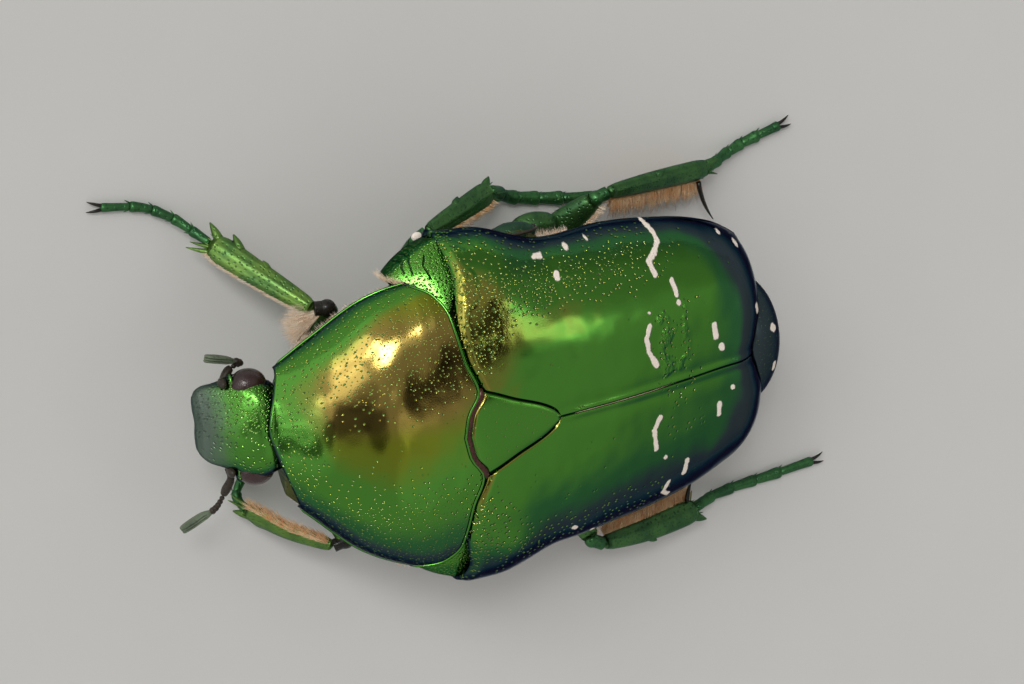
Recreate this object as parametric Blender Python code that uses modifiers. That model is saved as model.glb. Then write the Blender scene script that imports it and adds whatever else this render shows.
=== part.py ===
"""Flower chafer, a metallic green scarab beetle, as a still life-size model.

Every size is in millimetres, in the beetle's own frame: the head looks along -Y, +Z is up,
the floor is z = 0 and y = 0 lies at the front of the scutellum. MM turns them into metres
when a mesh is made. The whole model is then moved so that the origin is the middle of its
footprint box, at floor level.
"""
import math

import bmesh
import bpy
from mathutils import Vector

MM = 0.001
GAP = 0.3
SHELL = 0.6
MERGE_DISTANCE = 0.001

# The body's outline from above, and the heights of its edge, its middle line and its belly.
BACK_WIDTH = ((-0.3, 6.62), (0.2, 6.67), (1.6, 6.63), (4.3, 5.82), (7.0, 5.71), (9.8, 5.31),
              (11.8, 4.66), (12.8, 4.04), (13.3, 3.6))
BACK_EDGE = ((0.2, 6.11), (1.6, 6.14), (4.3, 6.24), (7.0, 5.46), (9.8, 4.94), (11.8, 4.37), (12.8, 4.14))
RIDGE = ((-6.4, 6.71), (-4.5, 8.23), (-2.2, 9.06), (0.2, 9.16), (3.0, 8.94), (6.0, 8.52),
         (9.0, 7.81), (11.5, 7.13), (12.9, 6.96))
PRONOTUM_WIDTH = ((-6.6, 1.95), (-6.2, 2.25), (-5.0, 3.22), (-3.0, 4.70), (-1.4, 5.30), (-0.8, 5.45))
PRONOTUM_EDGE = ((-6.3, 5.83), (-5.0, 6.14), (-3.0, 6.67), (-1.4, 7.06))
BELLY = ((-6.2, 4.2), (-4.6, 2.9), (-3.0, 2.3), (-1.0, 1.85), (1.0, 1.45), (4.0, 1.35), (8.0, 1.6),
         (11.0, 2.3), (12.6, 3.4))
BACK_CURVE = 2.5
PRONOTUM_CURVE = 2.2

# The plates' edges from above: distance from the middle line, then y. The pronotum's front edge
# is a little askew, so it is given from side to side.
PRONOTUM_BASE = ((0.0, -0.12), (0.8, 0.05), (1.6, 0.5), (2.7, 0.12), (3.7, -0.06), (4.4, -0.2),
                 (5.0, -0.5), (5.42, -1.1))
PRONOTUM_FRONT = ((-2.3, -6.2), (-1.56, -6.38), (-0.79, -6.5), (0.0, -6.56), (0.83, -6.42), (1.53, -6.17),
                  (2.14, -5.83), (2.75, -5.35))
ELYTRON_FRONT = ((1.9, 0.85), (2.7, 0.5), (3.7, 0.3), (4.4, 0.25), (5.6, 0.35), (6.2, 0.2), (6.6, -0.1))
ELYTRON_REAR = ((0.15, 12.95), (1.0, 13.3), (1.8, 13.55), (2.6, 13.6), (3.6, 13.4), (4.3, 12.8))
SCUTELLUM_HALF = ((0.1, 1.66), (0.55, 1.6), (2.0, 1.0), (3.0, 0.58), (3.45, 0.3), (3.66, 0.08))
REAR_ROUNDING = 1.5
REAR_DROP = 0.8
RIM_DEPTH = ((0.0, 0.9), (5.0, 0.8), (12.0, 0.5))

# The trunk under the plates: its half-width below the plates' rims.
PROTHORAX_SIDE = 0.15
TRUNK_SIDE = ((-0.6, 4.9), (0.6, 5.5), (2.6, 5.9), (3.8, 6.0), (5.0, 5.4), (9.8, 4.85),
              (11.2, 4.25), (12.1, 3.4))
TRUNK_INSET = ((-0.6, 4.1), (0.3, 4.5), (1.2, 5.55), (4.3, 4.8), (9.8, 4.3), (12.1, 2.9))
PROTHORAX_BELLY_CURVE = 1.35
TRUNK_BELLY_CURVE = 1.75
PROTHORAX_SPAN = (-5.55, -0.95)
THORAX_SPAN = (-0.6, 5.35)
ABDOMEN_SPAN = (5.65, 12.1)
SEGMENT_LENGTH = 1.25
SEGMENT_STEP = 0.1

# The prothorax turns a little towards the beetle's right, and leans that way. The head is carried
# aside by this turn, but still faces forward.
TURN = math.radians(-5.2)
LEAN = math.radians(-3.5)
TURN_PIVOT = (0.0, 0.3, 8.0)
TURN_RUN = 3.0

# The head's sections: y, middle height, half-width, height above and depth below.
HEAD = ((-5.95, 5.05, 1.30, 0.85, 1.00), (-6.30, 5.05, 1.62, 1.05, 1.15), (-6.65, 5.00, 1.84, 1.14, 1.20),
        (-7.00, 4.88, 1.90, 1.13, 1.15), (-7.30, 4.76, 1.80, 1.02, 1.00), (-7.60, 4.62, 1.62, 0.88, 0.85),
        (-7.85, 4.50, 1.53, 0.75, 0.70), (-8.2, 4.30, 1.46, 0.52, 0.50), (-8.46, 4.12, 1.27, 0.34, 0.34),
        (-8.62, 4.02, 1.00, 0.18, 0.20))
HEAD_CURVE = 2.6
HEAD_SHIFT = 0.08
EYE_CENTRE = (1.72, -6.75, 5.08)
EYE_RADII = (0.52, 0.60, 0.54)
PYGIDIUM_CENTRE = (0.12, 12.65, 4.4)
PYGIDIUM_RADII = (2.6, 1.72, 1.75)
PYGIDIUM_FRONT = 12.4

# Each antenna's middle line, base first, then the scape's, stalk's and club's half-thickness.
ANTENNAE = {
    "right": ((-2.42, -7.86, 3.78), (-2.72, -7.45, 3.62), (-3.02, -7.00, 3.60), (-3.16, -7.25, 3.80),
              (-3.08, -7.80, 3.98), (-3.06, -8.42, 4.15)),
    "left": ((1.30, -7.60, 4.25), (1.80, -7.55, 4.15), (2.35, -7.60, 4.00), (2.75, -7.90, 3.90),
             (3.25, -8.45, 3.70), (3.75, -9.10, 3.50)),
}
ANTENNA_GIRTH = (0.27, 0.30, 0.27, 0.26, 0.34, 0.16)

# The mouth feelers' left line, and the spine of the thorax between the middle legs.
PALP = ((0.70, -7.75, 3.85), (0.95, -8.15, 3.45), (0.90, -8.60, 3.25))
PALP_GIRTHS = ((0.0, 0.26, 0.24), (0.6, 0.25, 0.25), (1.0, 0.16, 0.16))
MIDDLE_SPINE = ((0.0, -0.25, 1.50), (0.55, 0.65, 0.45))

# Each coxa as an ellipsoid under the trunk, on the left side: middle, then radii.
COXAE = {
    "front": ((1.30, -2.90, 2.00), (0.85, 1.00, 1.20)),
    "middle": ((1.70, 1.00, 1.75), (1.20, 0.85, 0.90)),
    "hind": ((2.75, 4.60, 2.10), (2.45, 0.75, 1.05)),
}

# Each leg's middle line: the femur's ends, the knee, the tibia's tip and the foot's points.
LEGS = {
    ("front", "right"): {
        "femur": ((-2.45, -2.95, 2.30), (-3.20, -3.15, 3.20), (-4.00, -3.30, 4.25)),
        "tibia": ((-4.02, -3.78, 4.20), (-5.10, -5.20, 2.80), (-6.20, -6.58, 1.40)),
        "tarsus": ((-6.50, -6.95, 0.95), (-7.10, -7.70, 0.45), (-7.60, -8.80, 0.25), (-7.82, -10.20, 0.25)),
        "outward": (-0.80, 0.50, -0.20),
    },
    ("front", "left"): {
        "femur": ((2.45, -2.90, 2.20), (4.00, -2.90, 2.60), (5.60, -2.85, 3.10)),
        "tibia": ((5.75, -3.30, 3.00), (5.10, -4.80, 2.20), (4.35, -6.05, 1.30)),
        "tarsus": ((4.00, -6.20, 0.85), (3.30, -5.60, 0.35), (2.70, -4.60, 0.25), (2.20, -3.30, 0.25)),
        "outward": (0.85, -0.45, -0.10),
    },
    ("middle", "right"): {
        "femur": ((-3.15, 1.05, 1.45), (-4.30, 0.85, 2.05), (-5.60, 0.60, 3.40)),
        "tibia": ((-5.85, 1.00, 3.45), (-6.10, 2.70, 2.45), (-6.30, 4.35, 1.35)),
        "tarsus": ((-6.05, 4.75, 0.90), (-5.60, 5.50, 0.40), (-5.20, 7.20, 0.25), (-4.95, 9.00, 0.25)),
        "outward": (-0.90, 0.0, -0.30),
    },
    ("middle", "left"): {
        "femur": ((3.15, 1.05, 1.45), (4.60, 1.15, 1.95), (6.30, 1.20, 3.00)),
        "tibia": ((6.65, 1.55, 3.00), (6.90, 3.10, 2.15), (6.95, 4.75, 1.30)),
        "tarsus": ((6.85, 5.15, 0.90), (6.70, 6.00, 0.40), (6.40, 7.60, 0.25), (6.15, 9.40, 0.25)),
        "outward": (0.90, 0.0, -0.30),
    },
    ("hind", "right"): {
        "femur": ((-3.50, 5.80, 1.30), (-4.60, 6.75, 1.95), (-5.80, 7.95, 2.85)),
        "tibia": ((-5.95, 8.42, 2.85), (-5.80, 10.80, 2.00), (-5.62, 13.30, 1.15)),
        "tarsus": ((-5.68, 13.75, 0.85), (-5.85, 14.50, 0.42), (-6.15, 15.60, 0.25), (-6.50, 16.85, 0.25)),
        "outward": (-0.75, 0.10, 0.60),
    },
    ("hind", "left"): {
        "femur": ((3.50, 5.80, 1.30), (5.60, 6.40, 1.90), (7.80, 7.15, 2.80)),
        "tibia": ((8.05, 7.60, 2.75), (8.20, 10.00, 1.95), (8.15, 12.30, 1.15)),
        "tarsus": ((8.10, 12.75, 0.85), (8.05, 13.60, 0.40), (7.90, 15.50, 0.25), (7.60, 17.90, 0.25)),
        "outward": (0.75, 0.10, 0.60),
    },
}

# Girths along a limb: share of its length, half-width and half-thickness.
FEMUR_GIRTH = ((0.0, 0.30, 0.28), (0.15, 0.50, 0.36), (0.5, 0.62, 0.40), (0.85, 0.46, 0.34),
               (1.0, 0.30, 0.26))
TIBIA_GIRTH = {
    "front": ((0.0, 0.24, 0.24), (0.1, 0.32, 0.28), (0.5, 0.46, 0.30), (0.85, 0.50, 0.28), (1.0, 0.36, 0.24)),
    "middle": ((0.0, 0.24, 0.24), (0.1, 0.32, 0.28), (0.5, 0.40, 0.30), (0.85, 0.44, 0.30), (1.0, 0.34, 0.26)),
    "hind": ((0.0, 0.26, 0.24), (0.1, 0.36, 0.28), (0.5, 0.46, 0.30), (0.85, 0.50, 0.30), (1.0, 0.38, 0.26)),
}
# Teeth on a tibia: share of its length, side (1 outward, -1 inward), length, lean to the tip.
TIBIA_TEETH = {
    "front": ((0.52, 1, 0.40, 0.9), (0.76, 1, 0.60, 1.1), (0.97, 1, 0.70, 1.3), (0.97, -1, 0.80, 1.5)),
    "middle": ((0.50, 1, 0.35, 0.5), (0.97, 1, 0.40, 1.0), (0.97, -1, 0.60, 1.4)),
    "hind": ((0.48, 1, 0.35, 0.5), (0.97, 1, 0.45, 1.0), (0.97, -1, 0.80, 1.2)),
}
TOOTH_ROOT = 0.20
TOOTH_TIP = 0.07
TOOTH_SUNK = 0.25
FOOT_JOINTS = 5
FOOT_THIN = 0.25
FOOT_THICK = 0.30
CLAW_LENGTH = 0.65
CLAW_SPREAD = 0.25

PLATE_COLUMNS = 11
PLATE_ROWS = 15
TRUNK_UPPER_SIDES = 12
TRUNK_LOWER_SIDES = 12
LIMB_SIDES = 10

GREEN = (0.045, 0.30, 0.035)
DARK_GREEN = (0.02, 0.16, 0.05)
BRONZE = (0.10, 0.07, 0.035)
EYE_BROWN = (0.03, 0.015, 0.012)


def smooth(stations):
    """A smooth function through (position, value) pairs that never overshoots them."""
    places = [station[0] for station in stations]
    values = [station[1] for station in stations]
    last = len(places) - 1
    slopes = [(values[i + 1] - values[i]) / (places[i + 1] - places[i]) for i in range(last)]
    bends = [slopes[0]]
    for before, after in zip(slopes, slopes[1:]):
        bends.append(0.0 if before * after <= 0 else 2 * before * after / (before + after))
    bends.append(slopes[-1])

    def value(x):
        x = min(max(x, places[0]), places[-1])
        i = max(k for k in range(last) if places[k] <= x)
        step = places[i + 1] - places[i]
        t = (x - places[i]) / step
        near = (1 + 2 * t) * (1 - t) ** 2 * values[i] + t * (1 - t) ** 2 * step * bends[i]
        far = t * t * (3 - 2 * t) * values[i + 1] + t * t * (t - 1) * step * bends[i + 1]
        return near + far

    return value


back_width = smooth(BACK_WIDTH)
back_edge = smooth(BACK_EDGE)
ridge = smooth(RIDGE)
pronotum_width = smooth(PRONOTUM_WIDTH)
pronotum_edge = smooth(PRONOTUM_EDGE)
belly = smooth(BELLY)
pronotum_base = smooth(PRONOTUM_BASE)
pronotum_front = smooth(PRONOTUM_FRONT)
elytron_front = smooth(ELYTRON_FRONT)
elytron_rear = smooth(ELYTRON_REAR)
scutellum_half = smooth(SCUTELLUM_HALF)
rim_depth = smooth(RIM_DEPTH)
trunk_side = smooth(TRUNK_SIDE)
trunk_inset = smooth(TRUNK_INSET)


def between(low, high, share):
    return low + (high - low) * share


def across(share, curve):
    """Share of the half-width at a share of the arc over a rounded back."""
    return math.sin(share * math.pi / 2) ** (2 / curve)


def dome(x, half_width, edge, top, curve):
    """Height of a rounded back at x, from the height of its edge and of its top."""
    share = min(abs(x) / half_width, 1.0)
    return edge + (top - edge) * math.sqrt(1 - share ** curve)


def turn_forebody(point):
    """Turn a point of the head or prothorax, less and less towards the prothorax's base."""
    pivot = Vector(TURN_PIVOT)
    x, y, z = Vector(point) - pivot
    share = min(max(-y / TURN_RUN, 0.0), 1.0)
    share = share * share * (3 - 2 * share)
    turn = TURN * share
    lean = LEAN * share
    x, y = x * math.cos(turn) - y * math.sin(turn), x * math.sin(turn) + y * math.cos(turn)
    x, z = x * math.cos(lean) + z * math.sin(lean), z * math.cos(lean) - x * math.sin(lean)
    return pivot + Vector((x, y, z))


def carry_head(point):
    """Move a point of the head aside with the prothorax's front, without turning it."""
    x, y, z = Vector(point) - Vector(TURN_PIVOT)
    x -= y * math.tan(TURN)
    x, z = x * math.cos(LEAN) + z * math.sin(LEAN), z * math.cos(LEAN) - x * math.sin(LEAN)
    return Vector(TURN_PIVOT) + Vector((x, y, z))


def paint(name, colour, roughness, metallic):
    finish = bpy.data.materials.new(name)
    finish.use_nodes = True
    shader = finish.node_tree.nodes["Principled BSDF"]
    shader.inputs["Base Color"].default_value = (*colour, 1)
    shader.inputs["Roughness"].default_value = roughness
    shader.inputs["Metallic"].default_value = metallic
    finish.diffuse_color = (*colour, 1)
    return finish


def from_rings(name, rings, closed=True):
    """Skin a row of rings: closed rings make a tube with capped ends, open ones a sheet."""
    mesh = bmesh.new()
    rows = [[mesh.verts.new(Vector(point) * MM) for point in ring] for ring in rings]
    count = len(rows[0])
    for near, far in zip(rows, rows[1:]):
        for i in range(count if closed else count - 1):
            j = (i + 1) % count
            mesh.faces.new((near[i], near[j], far[j], far[i]))
    if closed:
        for row in (rows[0], rows[-1]):
            middle = mesh.verts.new(sum((vert.co for vert in row), Vector()) / count)
            for i in range(count):
                mesh.faces.new((row[i], row[(i + 1) % count], middle))
    bmesh.ops.remove_doubles(mesh, verts=mesh.verts, dist=MERGE_DISTANCE * MM)
    bmesh.ops.recalc_face_normals(mesh, faces=mesh.faces)
    data = bpy.data.meshes.new(name)
    mesh.to_mesh(data)
    mesh.free()
    data.shade_smooth()
    return bpy.data.objects.new(name, data)


def plate(name, rows, thickness, lift=0.0):
    """A plate under an open sheet whose outer face looks up, thicker by lift on both faces."""
    obj = from_rings(name, rows, closed=False)
    if sum(face.normal.z * face.area for face in obj.data.polygons) < 0:
        obj.data.flip_normals()
    solid = obj.modifiers.new("thickness", "SOLIDIFY")
    solid.thickness = (thickness + 2 * lift) * MM
    solid.offset = -1 + 2 * lift / (thickness + 2 * lift)
    solid.use_even_offset = True
    return obj


def bake(obj):
    """Apply the object's modifiers to its mesh."""
    if obj.name not in bpy.context.scene.collection.all_objects:
        bpy.context.scene.collection.objects.link(obj)
    bpy.context.view_layer.update()
    graph = bpy.context.evaluated_depsgraph_get()
    data = bpy.data.meshes.new_from_object(obj.evaluated_get(graph))
    obj.modifiers.clear()
    obj.data = data
    return obj


def keep_largest(obj):
    """Keep only the closed surface of a mesh that reaches furthest across."""
    mesh = bmesh.new()
    mesh.from_mesh(obj.data)
    left = set(mesh.verts)
    surfaces = []
    while left:
        surface = [left.pop()]
        for vert in surface:
            for edge in vert.link_edges:
                other = edge.other_vert(vert)
                if other in left:
                    left.remove(other)
                    surface.append(other)
        surfaces.append(surface)

    def reach(surface):
        spans = [[vert.co[axis] for vert in surface] for axis in range(3)]
        return math.hypot(*(max(span) - min(span) for span in spans))

    surfaces.sort(key=reach)
    scraps = [vert for surface in surfaces[:-1] for vert in surface]
    bmesh.ops.delete(mesh, geom=scraps, context="VERTS")
    mesh.to_mesh(obj.data)
    mesh.free()
    return obj


def combine(obj, others, operation):
    """Join others to obj, or cut them from it, by one Boolean, and remove them."""
    bake(obj)
    group = bpy.data.collections.new("tools")
    for other in others:
        bake(other)
        group.objects.link(other)
    change = obj.modifiers.new("change", "BOOLEAN")
    change.operation = operation
    change.operand_type = "COLLECTION"
    change.collection = group
    change.solver = "EXACT"
    bake(obj)
    for other in others:
        bpy.data.objects.remove(other)
    bpy.data.collections.remove(group)
    return keep_largest(obj)


def ellipsoid(name, centre, radii, segments=20, rings=12):
    mesh = bmesh.new()
    bmesh.ops.create_uvsphere(mesh, u_segments=segments, v_segments=rings, radius=1.0)
    for vert in mesh.verts:
        vert.co = Vector(c + r * v for c, r, v in zip(centre, radii, vert.co)) * MM
    data = bpy.data.meshes.new(name)
    mesh.to_mesh(data)
    mesh.free()
    data.shade_smooth()
    return bpy.data.objects.new(name, data)


def block(name, low, high):
    mesh = bmesh.new()
    bmesh.ops.create_cube(mesh, size=1.0)
    for vert in mesh.verts:
        vert.co = Vector(between(a, b, v + 0.5) for a, b, v in zip(low, high, vert.co)) * MM
    data = bpy.data.meshes.new(name)
    mesh.to_mesh(data)
    mesh.free()
    return bpy.data.objects.new(name, data)


def line_through(points):
    """A smooth line through a few points, as a function of the share of the way along it."""
    points = [Vector(point) for point in points]
    marks = [0.0]
    for near, far in zip(points, points[1:]):
        marks.append(marks[-1] + (far - near).length)
    axes = [smooth([(mark, point[axis]) for mark, point in zip(marks, points)]) for axis in range(3)]

    def place(share):
        return Vector(axis(share * marks[-1]) for axis in axes)

    return place


def limb_ring(centre, along, wide, half_width, half_thick, sides=LIMB_SIDES):
    """An oval ring round a point, kept above the floor."""
    along = along.normalized()
    wide = (wide - along * wide.dot(along)).normalized()
    thick = along.cross(wide)
    ring = []
    for k in range(sides):
        angle = 2 * math.pi * k / sides
        point = centre + wide * (half_width * math.cos(angle)) + thick * (half_thick * math.sin(angle))
        point.z = max(point.z, 0.0)
        ring.append(point)
    return ring


def limb(name, points, girths, outward, sides=LIMB_SIDES):
    """A limb of oval sections along a smooth line, rounded off at both ends."""
    place = line_through(points)
    wide = Vector(outward)
    rings = []
    for share, half_width, half_thick in girths:
        ahead = place(min(share + 0.02, 1.0)) - place(max(share - 0.02, 0.0))
        rings.append(limb_ring(place(share), ahead, wide, half_width, half_thick, sides))
    return from_rings(name, rings)


def tooth(root, direction, length, wide, root_girth=TOOTH_ROOT, tip_girth=TOOTH_TIP):
    """A tapering tooth with its root sunk in what it grows from."""
    direction = direction.normalized()
    rings = []
    for share, girth in ((0.0, root_girth), (0.5, root_girth * 0.85), (1.0, tip_girth)):
        centre = root + direction * between(-TOOTH_SUNK, length, share)
        rings.append(limb_ring(centre, direction, wide, girth, girth * 0.8, 6))
    return from_rings("tooth", rings)


def elytron_rows(side, grow=0.0):
    """The elytron's outer face, from its front edge to its rear one."""
    rim_columns = ((0.03, 0.5), (0.2, 1.0))
    rows = []
    for j in range(PLATE_ROWS + 1):
        row = []
        for i in range(PLATE_COLUMNS + 1):
            share = across(i / PLATE_COLUMNS, BACK_CURVE)
            front = elytron_front(between(ELYTRON_FRONT[0][0], ELYTRON_FRONT[-1][0], share)) - grow
            rear = elytron_rear(between(ELYTRON_REAR[0][0], ELYTRON_REAR[-1][0], share)) + grow
            y = between(front, rear, j / PLATE_ROWS)
            inner = elytron_inner_edge(y) - grow
            width = back_width(y)
            x = between(inner, width, share)
            height = dome(x, width, 0.0, 1.0, BACK_CURVE)
            fall = max(REAR_ROUNDING - (rear - y), 0.0) / REAR_ROUNDING
            drop = REAR_DROP + grow / (ridge(y) - back_edge(y))
            height *= 1 - drop * (1 - math.sqrt(1 - min(fall, 1.0) ** 2))
            row.append((side * x, y, back_edge(y) + (ridge(y) - back_edge(y)) * height))
        for inward, share in rim_columns:
            drop = rim_depth(y) * share + grow * share
            row.append((side * (x - inward), y, back_edge(y) - drop))
        rows.append(row)
    return rows


def elytron_inner_edge(y):
    """Half of the seam between the elytra, or the scutellum's side and a gap."""
    if y > SCUTELLUM_HALF[-1][0] + GAP:
        return GAP / 2
    return max(scutellum_half(y) + GAP, GAP / 2)


def pronotum_rows(grow=0.0):
    rows = []
    for j in range(PLATE_ROWS + 1):
        row = []
        for i in range(-PLATE_COLUMNS, PLATE_COLUMNS + 1):
            share = across(abs(i) / PLATE_COLUMNS, PRONOTUM_CURVE)
            half = (1 + math.copysign(share, i)) / 2
            front = pronotum_front(between(PRONOTUM_FRONT[0][0], PRONOTUM_FRONT[-1][0], half)) - grow
            base = pronotum_base(PRONOTUM_BASE[-1][0] * share) + grow
            y = between(front, base, j / PLATE_ROWS)
            width = pronotum_width(y)
            x = math.copysign(width * share, i)
            z = dome(x, width, pronotum_edge(y), ridge(y), PRONOTUM_CURVE)
            row.append(turn_forebody((x, y, z)))
        rows.append(row)
    return rows


def scutellum_rows():
    rows = []
    count = 8
    for j in range(count + 1):
        row = []
        for i in range(-count // 2, count // 2 + 1):
            share = i / (count // 2)
            front = pronotum_base(abs(share) * SCUTELLUM_HALF[0][1]) + GAP
            y = between(front, SCUTELLUM_HALF[-1][0], j / count)
            x = scutellum_half(y) * share
            row.append((x, y, dome(x, back_width(y), back_edge(y), ridge(y), BACK_CURVE)))
        rows.append(row)
    return rows


def trunk_ring(y, inset, lid, top, side, rim, bottom, lower_curve, grow=0.0):
    """A trunk section: a back that fits under the plates, a ledge below their rims, a belly."""
    ring = []
    for i in range(TRUNK_UPPER_SIDES + 1):
        angle = math.pi * i / TRUNK_UPPER_SIDES
        x = math.copysign(abs(math.cos(angle)) ** (2 / BACK_CURVE), math.cos(angle)) * (inset + grow)
        ring.append((x, y, lid + (top + grow - lid) * math.sin(angle)))
    for i in range(TRUNK_LOWER_SIDES + 1):
        angle = math.pi * i / TRUNK_LOWER_SIDES
        x = -math.copysign(abs(math.cos(angle)) ** (2 / lower_curve), math.cos(angle)) * (side + grow)
        depth = abs(math.sin(angle)) ** (2 / lower_curve)
        ring.append((x, y, rim + grow - (rim + grow - bottom + grow) * depth))
    return ring


def prothorax(name, grow=0.0):
    rings = []
    count = 12
    for j in range(count + 1):
        y = between(PROTHORAX_SPAN[0] - grow, PROTHORAX_SPAN[1] + grow, j / count)
        width = pronotum_width(y)
        rim = pronotum_edge(y) - GAP
        top = ridge(y) - SHELL - GAP - 0.05
        ring = trunk_ring(y, width - SHELL - GAP - 0.1, rim + 0.05, top, width - PROTHORAX_SIDE, rim,
                          belly(y), PROTHORAX_BELLY_CURVE, grow)
        rings.append([turn_forebody(point) for point in ring])
    return from_rings(name, rings)


def hind_trunk(name, span, marks=(), grow=0.0):
    """The thorax or abdomen; at each mark the belly steps up as one plate laps the next."""
    count = 12
    places = [between(span[0] - grow, span[1] + grow, j / count) for j in range(count + 1)]
    steps = [mark + shift for mark in marks for shift in (-0.05, 0.05)]
    rings = []
    for y in sorted(places + steps):
        past = min((y - mark for mark in marks if y >= mark), default=SEGMENT_LENGTH)
        recess = SEGMENT_STEP * max(1 - past / SEGMENT_LENGTH, 0.0) if marks else 0.0
        rim = back_edge(y) - rim_depth(y) - GAP
        top = ridge(y) - SHELL - GAP - 0.1
        if y > ABDOMEN_SPAN[1] - 1.5:
            top -= (y - ABDOMEN_SPAN[1] + 1.5) ** 2 * 0.5
        rings.append(trunk_ring(y, trunk_inset(y), rim + 0.1, top, trunk_side(y) - recess, rim,
                                belly(y) + recess, TRUNK_BELLY_CURVE, grow))
    return from_rings(name, rings)


def thorax(name, grow=0.0):
    return hind_trunk(name, THORAX_SPAN, (), grow)


def abdomen(name, grow=0.0):
    first = ABDOMEN_SPAN[0]
    marks = [first + SEGMENT_LENGTH * k for k in range(1, 5)]
    return hind_trunk(name, ABDOMEN_SPAN, marks, grow)


def head(name, grow=0.0):
    rings = []
    sides = 24
    for y, middle, half_width, above, below in HEAD:
        ring = []
        for i in range(sides):
            angle = 2 * math.pi * i / sides
            x = math.copysign(abs(math.cos(angle)) ** (2 / HEAD_CURVE), math.cos(angle))
            z = math.copysign(abs(math.sin(angle)) ** (2 / HEAD_CURVE), math.sin(angle))
            height = above if z > 0 else below
            point = (HEAD_SHIFT + x * (half_width + grow), y, middle + z * (height + grow))
            ring.append(carry_head(point))
        rings.append(ring)
    return from_rings(name, rings)


def eye(name, side, grow=0.0):
    centre = carry_head((HEAD_SHIFT + side * EYE_CENTRE[0], *EYE_CENTRE[1:]))
    return ellipsoid(name, centre, [radius + grow for radius in EYE_RADII], 16, 10)


def head_with_palps(name):
    """The head with its mouth feelers, and a socket round each eye."""
    palps = []
    for side in (-1, 1):
        line = [carry_head((HEAD_SHIFT + side * x, y, z)) for x, y, z in PALP]
        palps.append(limb("palp", line, PALP_GIRTHS, (0, 0, 1), 8))
    whole = combine(head(name), palps, "UNION")
    return combine(whole, [eye("socket", side, GAP) for side in (-1, 1)], "DIFFERENCE")


def antenna(name, side_name):
    points = ANTENNAE[side_name]
    count = len(points) - 1
    girth = smooth([(k / count, value) for k, value in enumerate(ANTENNA_GIRTH)])
    steps = 14
    girths = [(k / steps, girth(k / steps), max(girth(k / steps) * 0.85, 0.16)) for k in range(steps + 1)]
    return limb(name, points, girths, (0, 0, 1), 8)


def mesepimeron(name, side):
    """The shoulder plate between the pronotum's hind corner and the elytron."""
    middle_line = ((5.30, -0.25, 7.05), (5.65, -0.55, 6.70), (5.95, -0.85, 6.10), (5.70, -0.95, 5.20))
    girths = ((0.0, 0.25, 0.25), (0.25, 0.55, 0.32), (0.6, 0.92, 0.38), (0.85, 0.95, 0.35), (1.0, 0.70, 0.28))
    points = [(side * x, y, z) for x, y, z in middle_line]
    obj = limb(name, points, girths, (side * 0.7, 0.7, 0.0), 12)
    around = plate("around the pronotum", pronotum_rows(GAP), SHELL, GAP)
    over = plate("around the elytron", elytron_rows(side, GAP), SHELL, GAP)
    under = thorax("around the thorax", GAP)
    front = prothorax("around the prothorax", GAP)
    return combine(obj, [around, over, under, front], "DIFFERENCE")


def pygidium(name):
    obj = ellipsoid(name, PYGIDIUM_CENTRE, PYGIDIUM_RADII)
    before = block("before the pygidium", (-8, 0, 0), (8, PYGIDIUM_FRONT, 12))
    covers = [plate("around the elytron", elytron_rows(side, GAP), SHELL, GAP) for side in (-1, 1)]
    return combine(obj, [before, *covers], "DIFFERENCE")


def coxa(name, pair, side):
    centre, radii = COXAE[pair]
    obj = ellipsoid(name, (side * centre[0], *centre[1:]), radii, 18, 12)
    if pair == "front":
        over = [prothorax("around the prothorax", GAP)]
    else:
        over = [thorax("around the thorax", GAP), abdomen("around the abdomen", GAP)]
    return combine(obj, over, "DIFFERENCE")


def femur_face(leg):
    """The way a femur is widest: level, across its run."""
    run = Vector(leg["femur"][-1]) - Vector(leg["femur"][0])
    return run.cross(Vector((0, 0, 1)))


def tibia(name, pair, leg):
    obj = limb(name, leg["tibia"], TIBIA_GIRTH[pair], leg["outward"])
    place = line_through(leg["tibia"])
    half_width = smooth([(share, wide) for share, wide, thick in TIBIA_GIRTH[pair]])
    teeth = []
    for share, side, reach, lean in TIBIA_TEETH[pair]:
        along = (place(1.0) - place(0.9)).normalized()
        out = Vector(leg["outward"]) * side
        out = (out - along * out.dot(along)).normalized()
        root = place(share) + out * (half_width(share) - TOOTH_ROOT / 2)
        teeth.append(tooth(root, out + along * lean, reach, out.cross(along)))
    return combine(obj, teeth, "UNION")


def tarsus(name, leg):
    """A foot of short joints, thicker at each joint's end, with two claws fused to the last."""
    steps = FOOT_JOINTS * 3
    girths = []
    for k in range(steps + 1):
        swell = (k % 3) / 2
        girth = between(FOOT_THIN, FOOT_THICK, swell)
        girths.append((k / steps, girth, girth * 0.9))
    obj = limb(name, leg["tarsus"], girths, leg["outward"], 8)
    place = line_through(leg["tarsus"])
    tip = place(1.0)
    along = (tip - place(0.9)).normalized()
    aside = along.cross(Vector((0, 0, 1))).normalized()
    claws = []
    for side in (-1, 1):
        direction = along + aside * side * CLAW_SPREAD
        root = tip + aside * side * 0.08
        claws.append(tooth(root, direction, CLAW_LENGTH, aside, 0.16, 0.06))
    return combine(obj, claws, "UNION")


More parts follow.
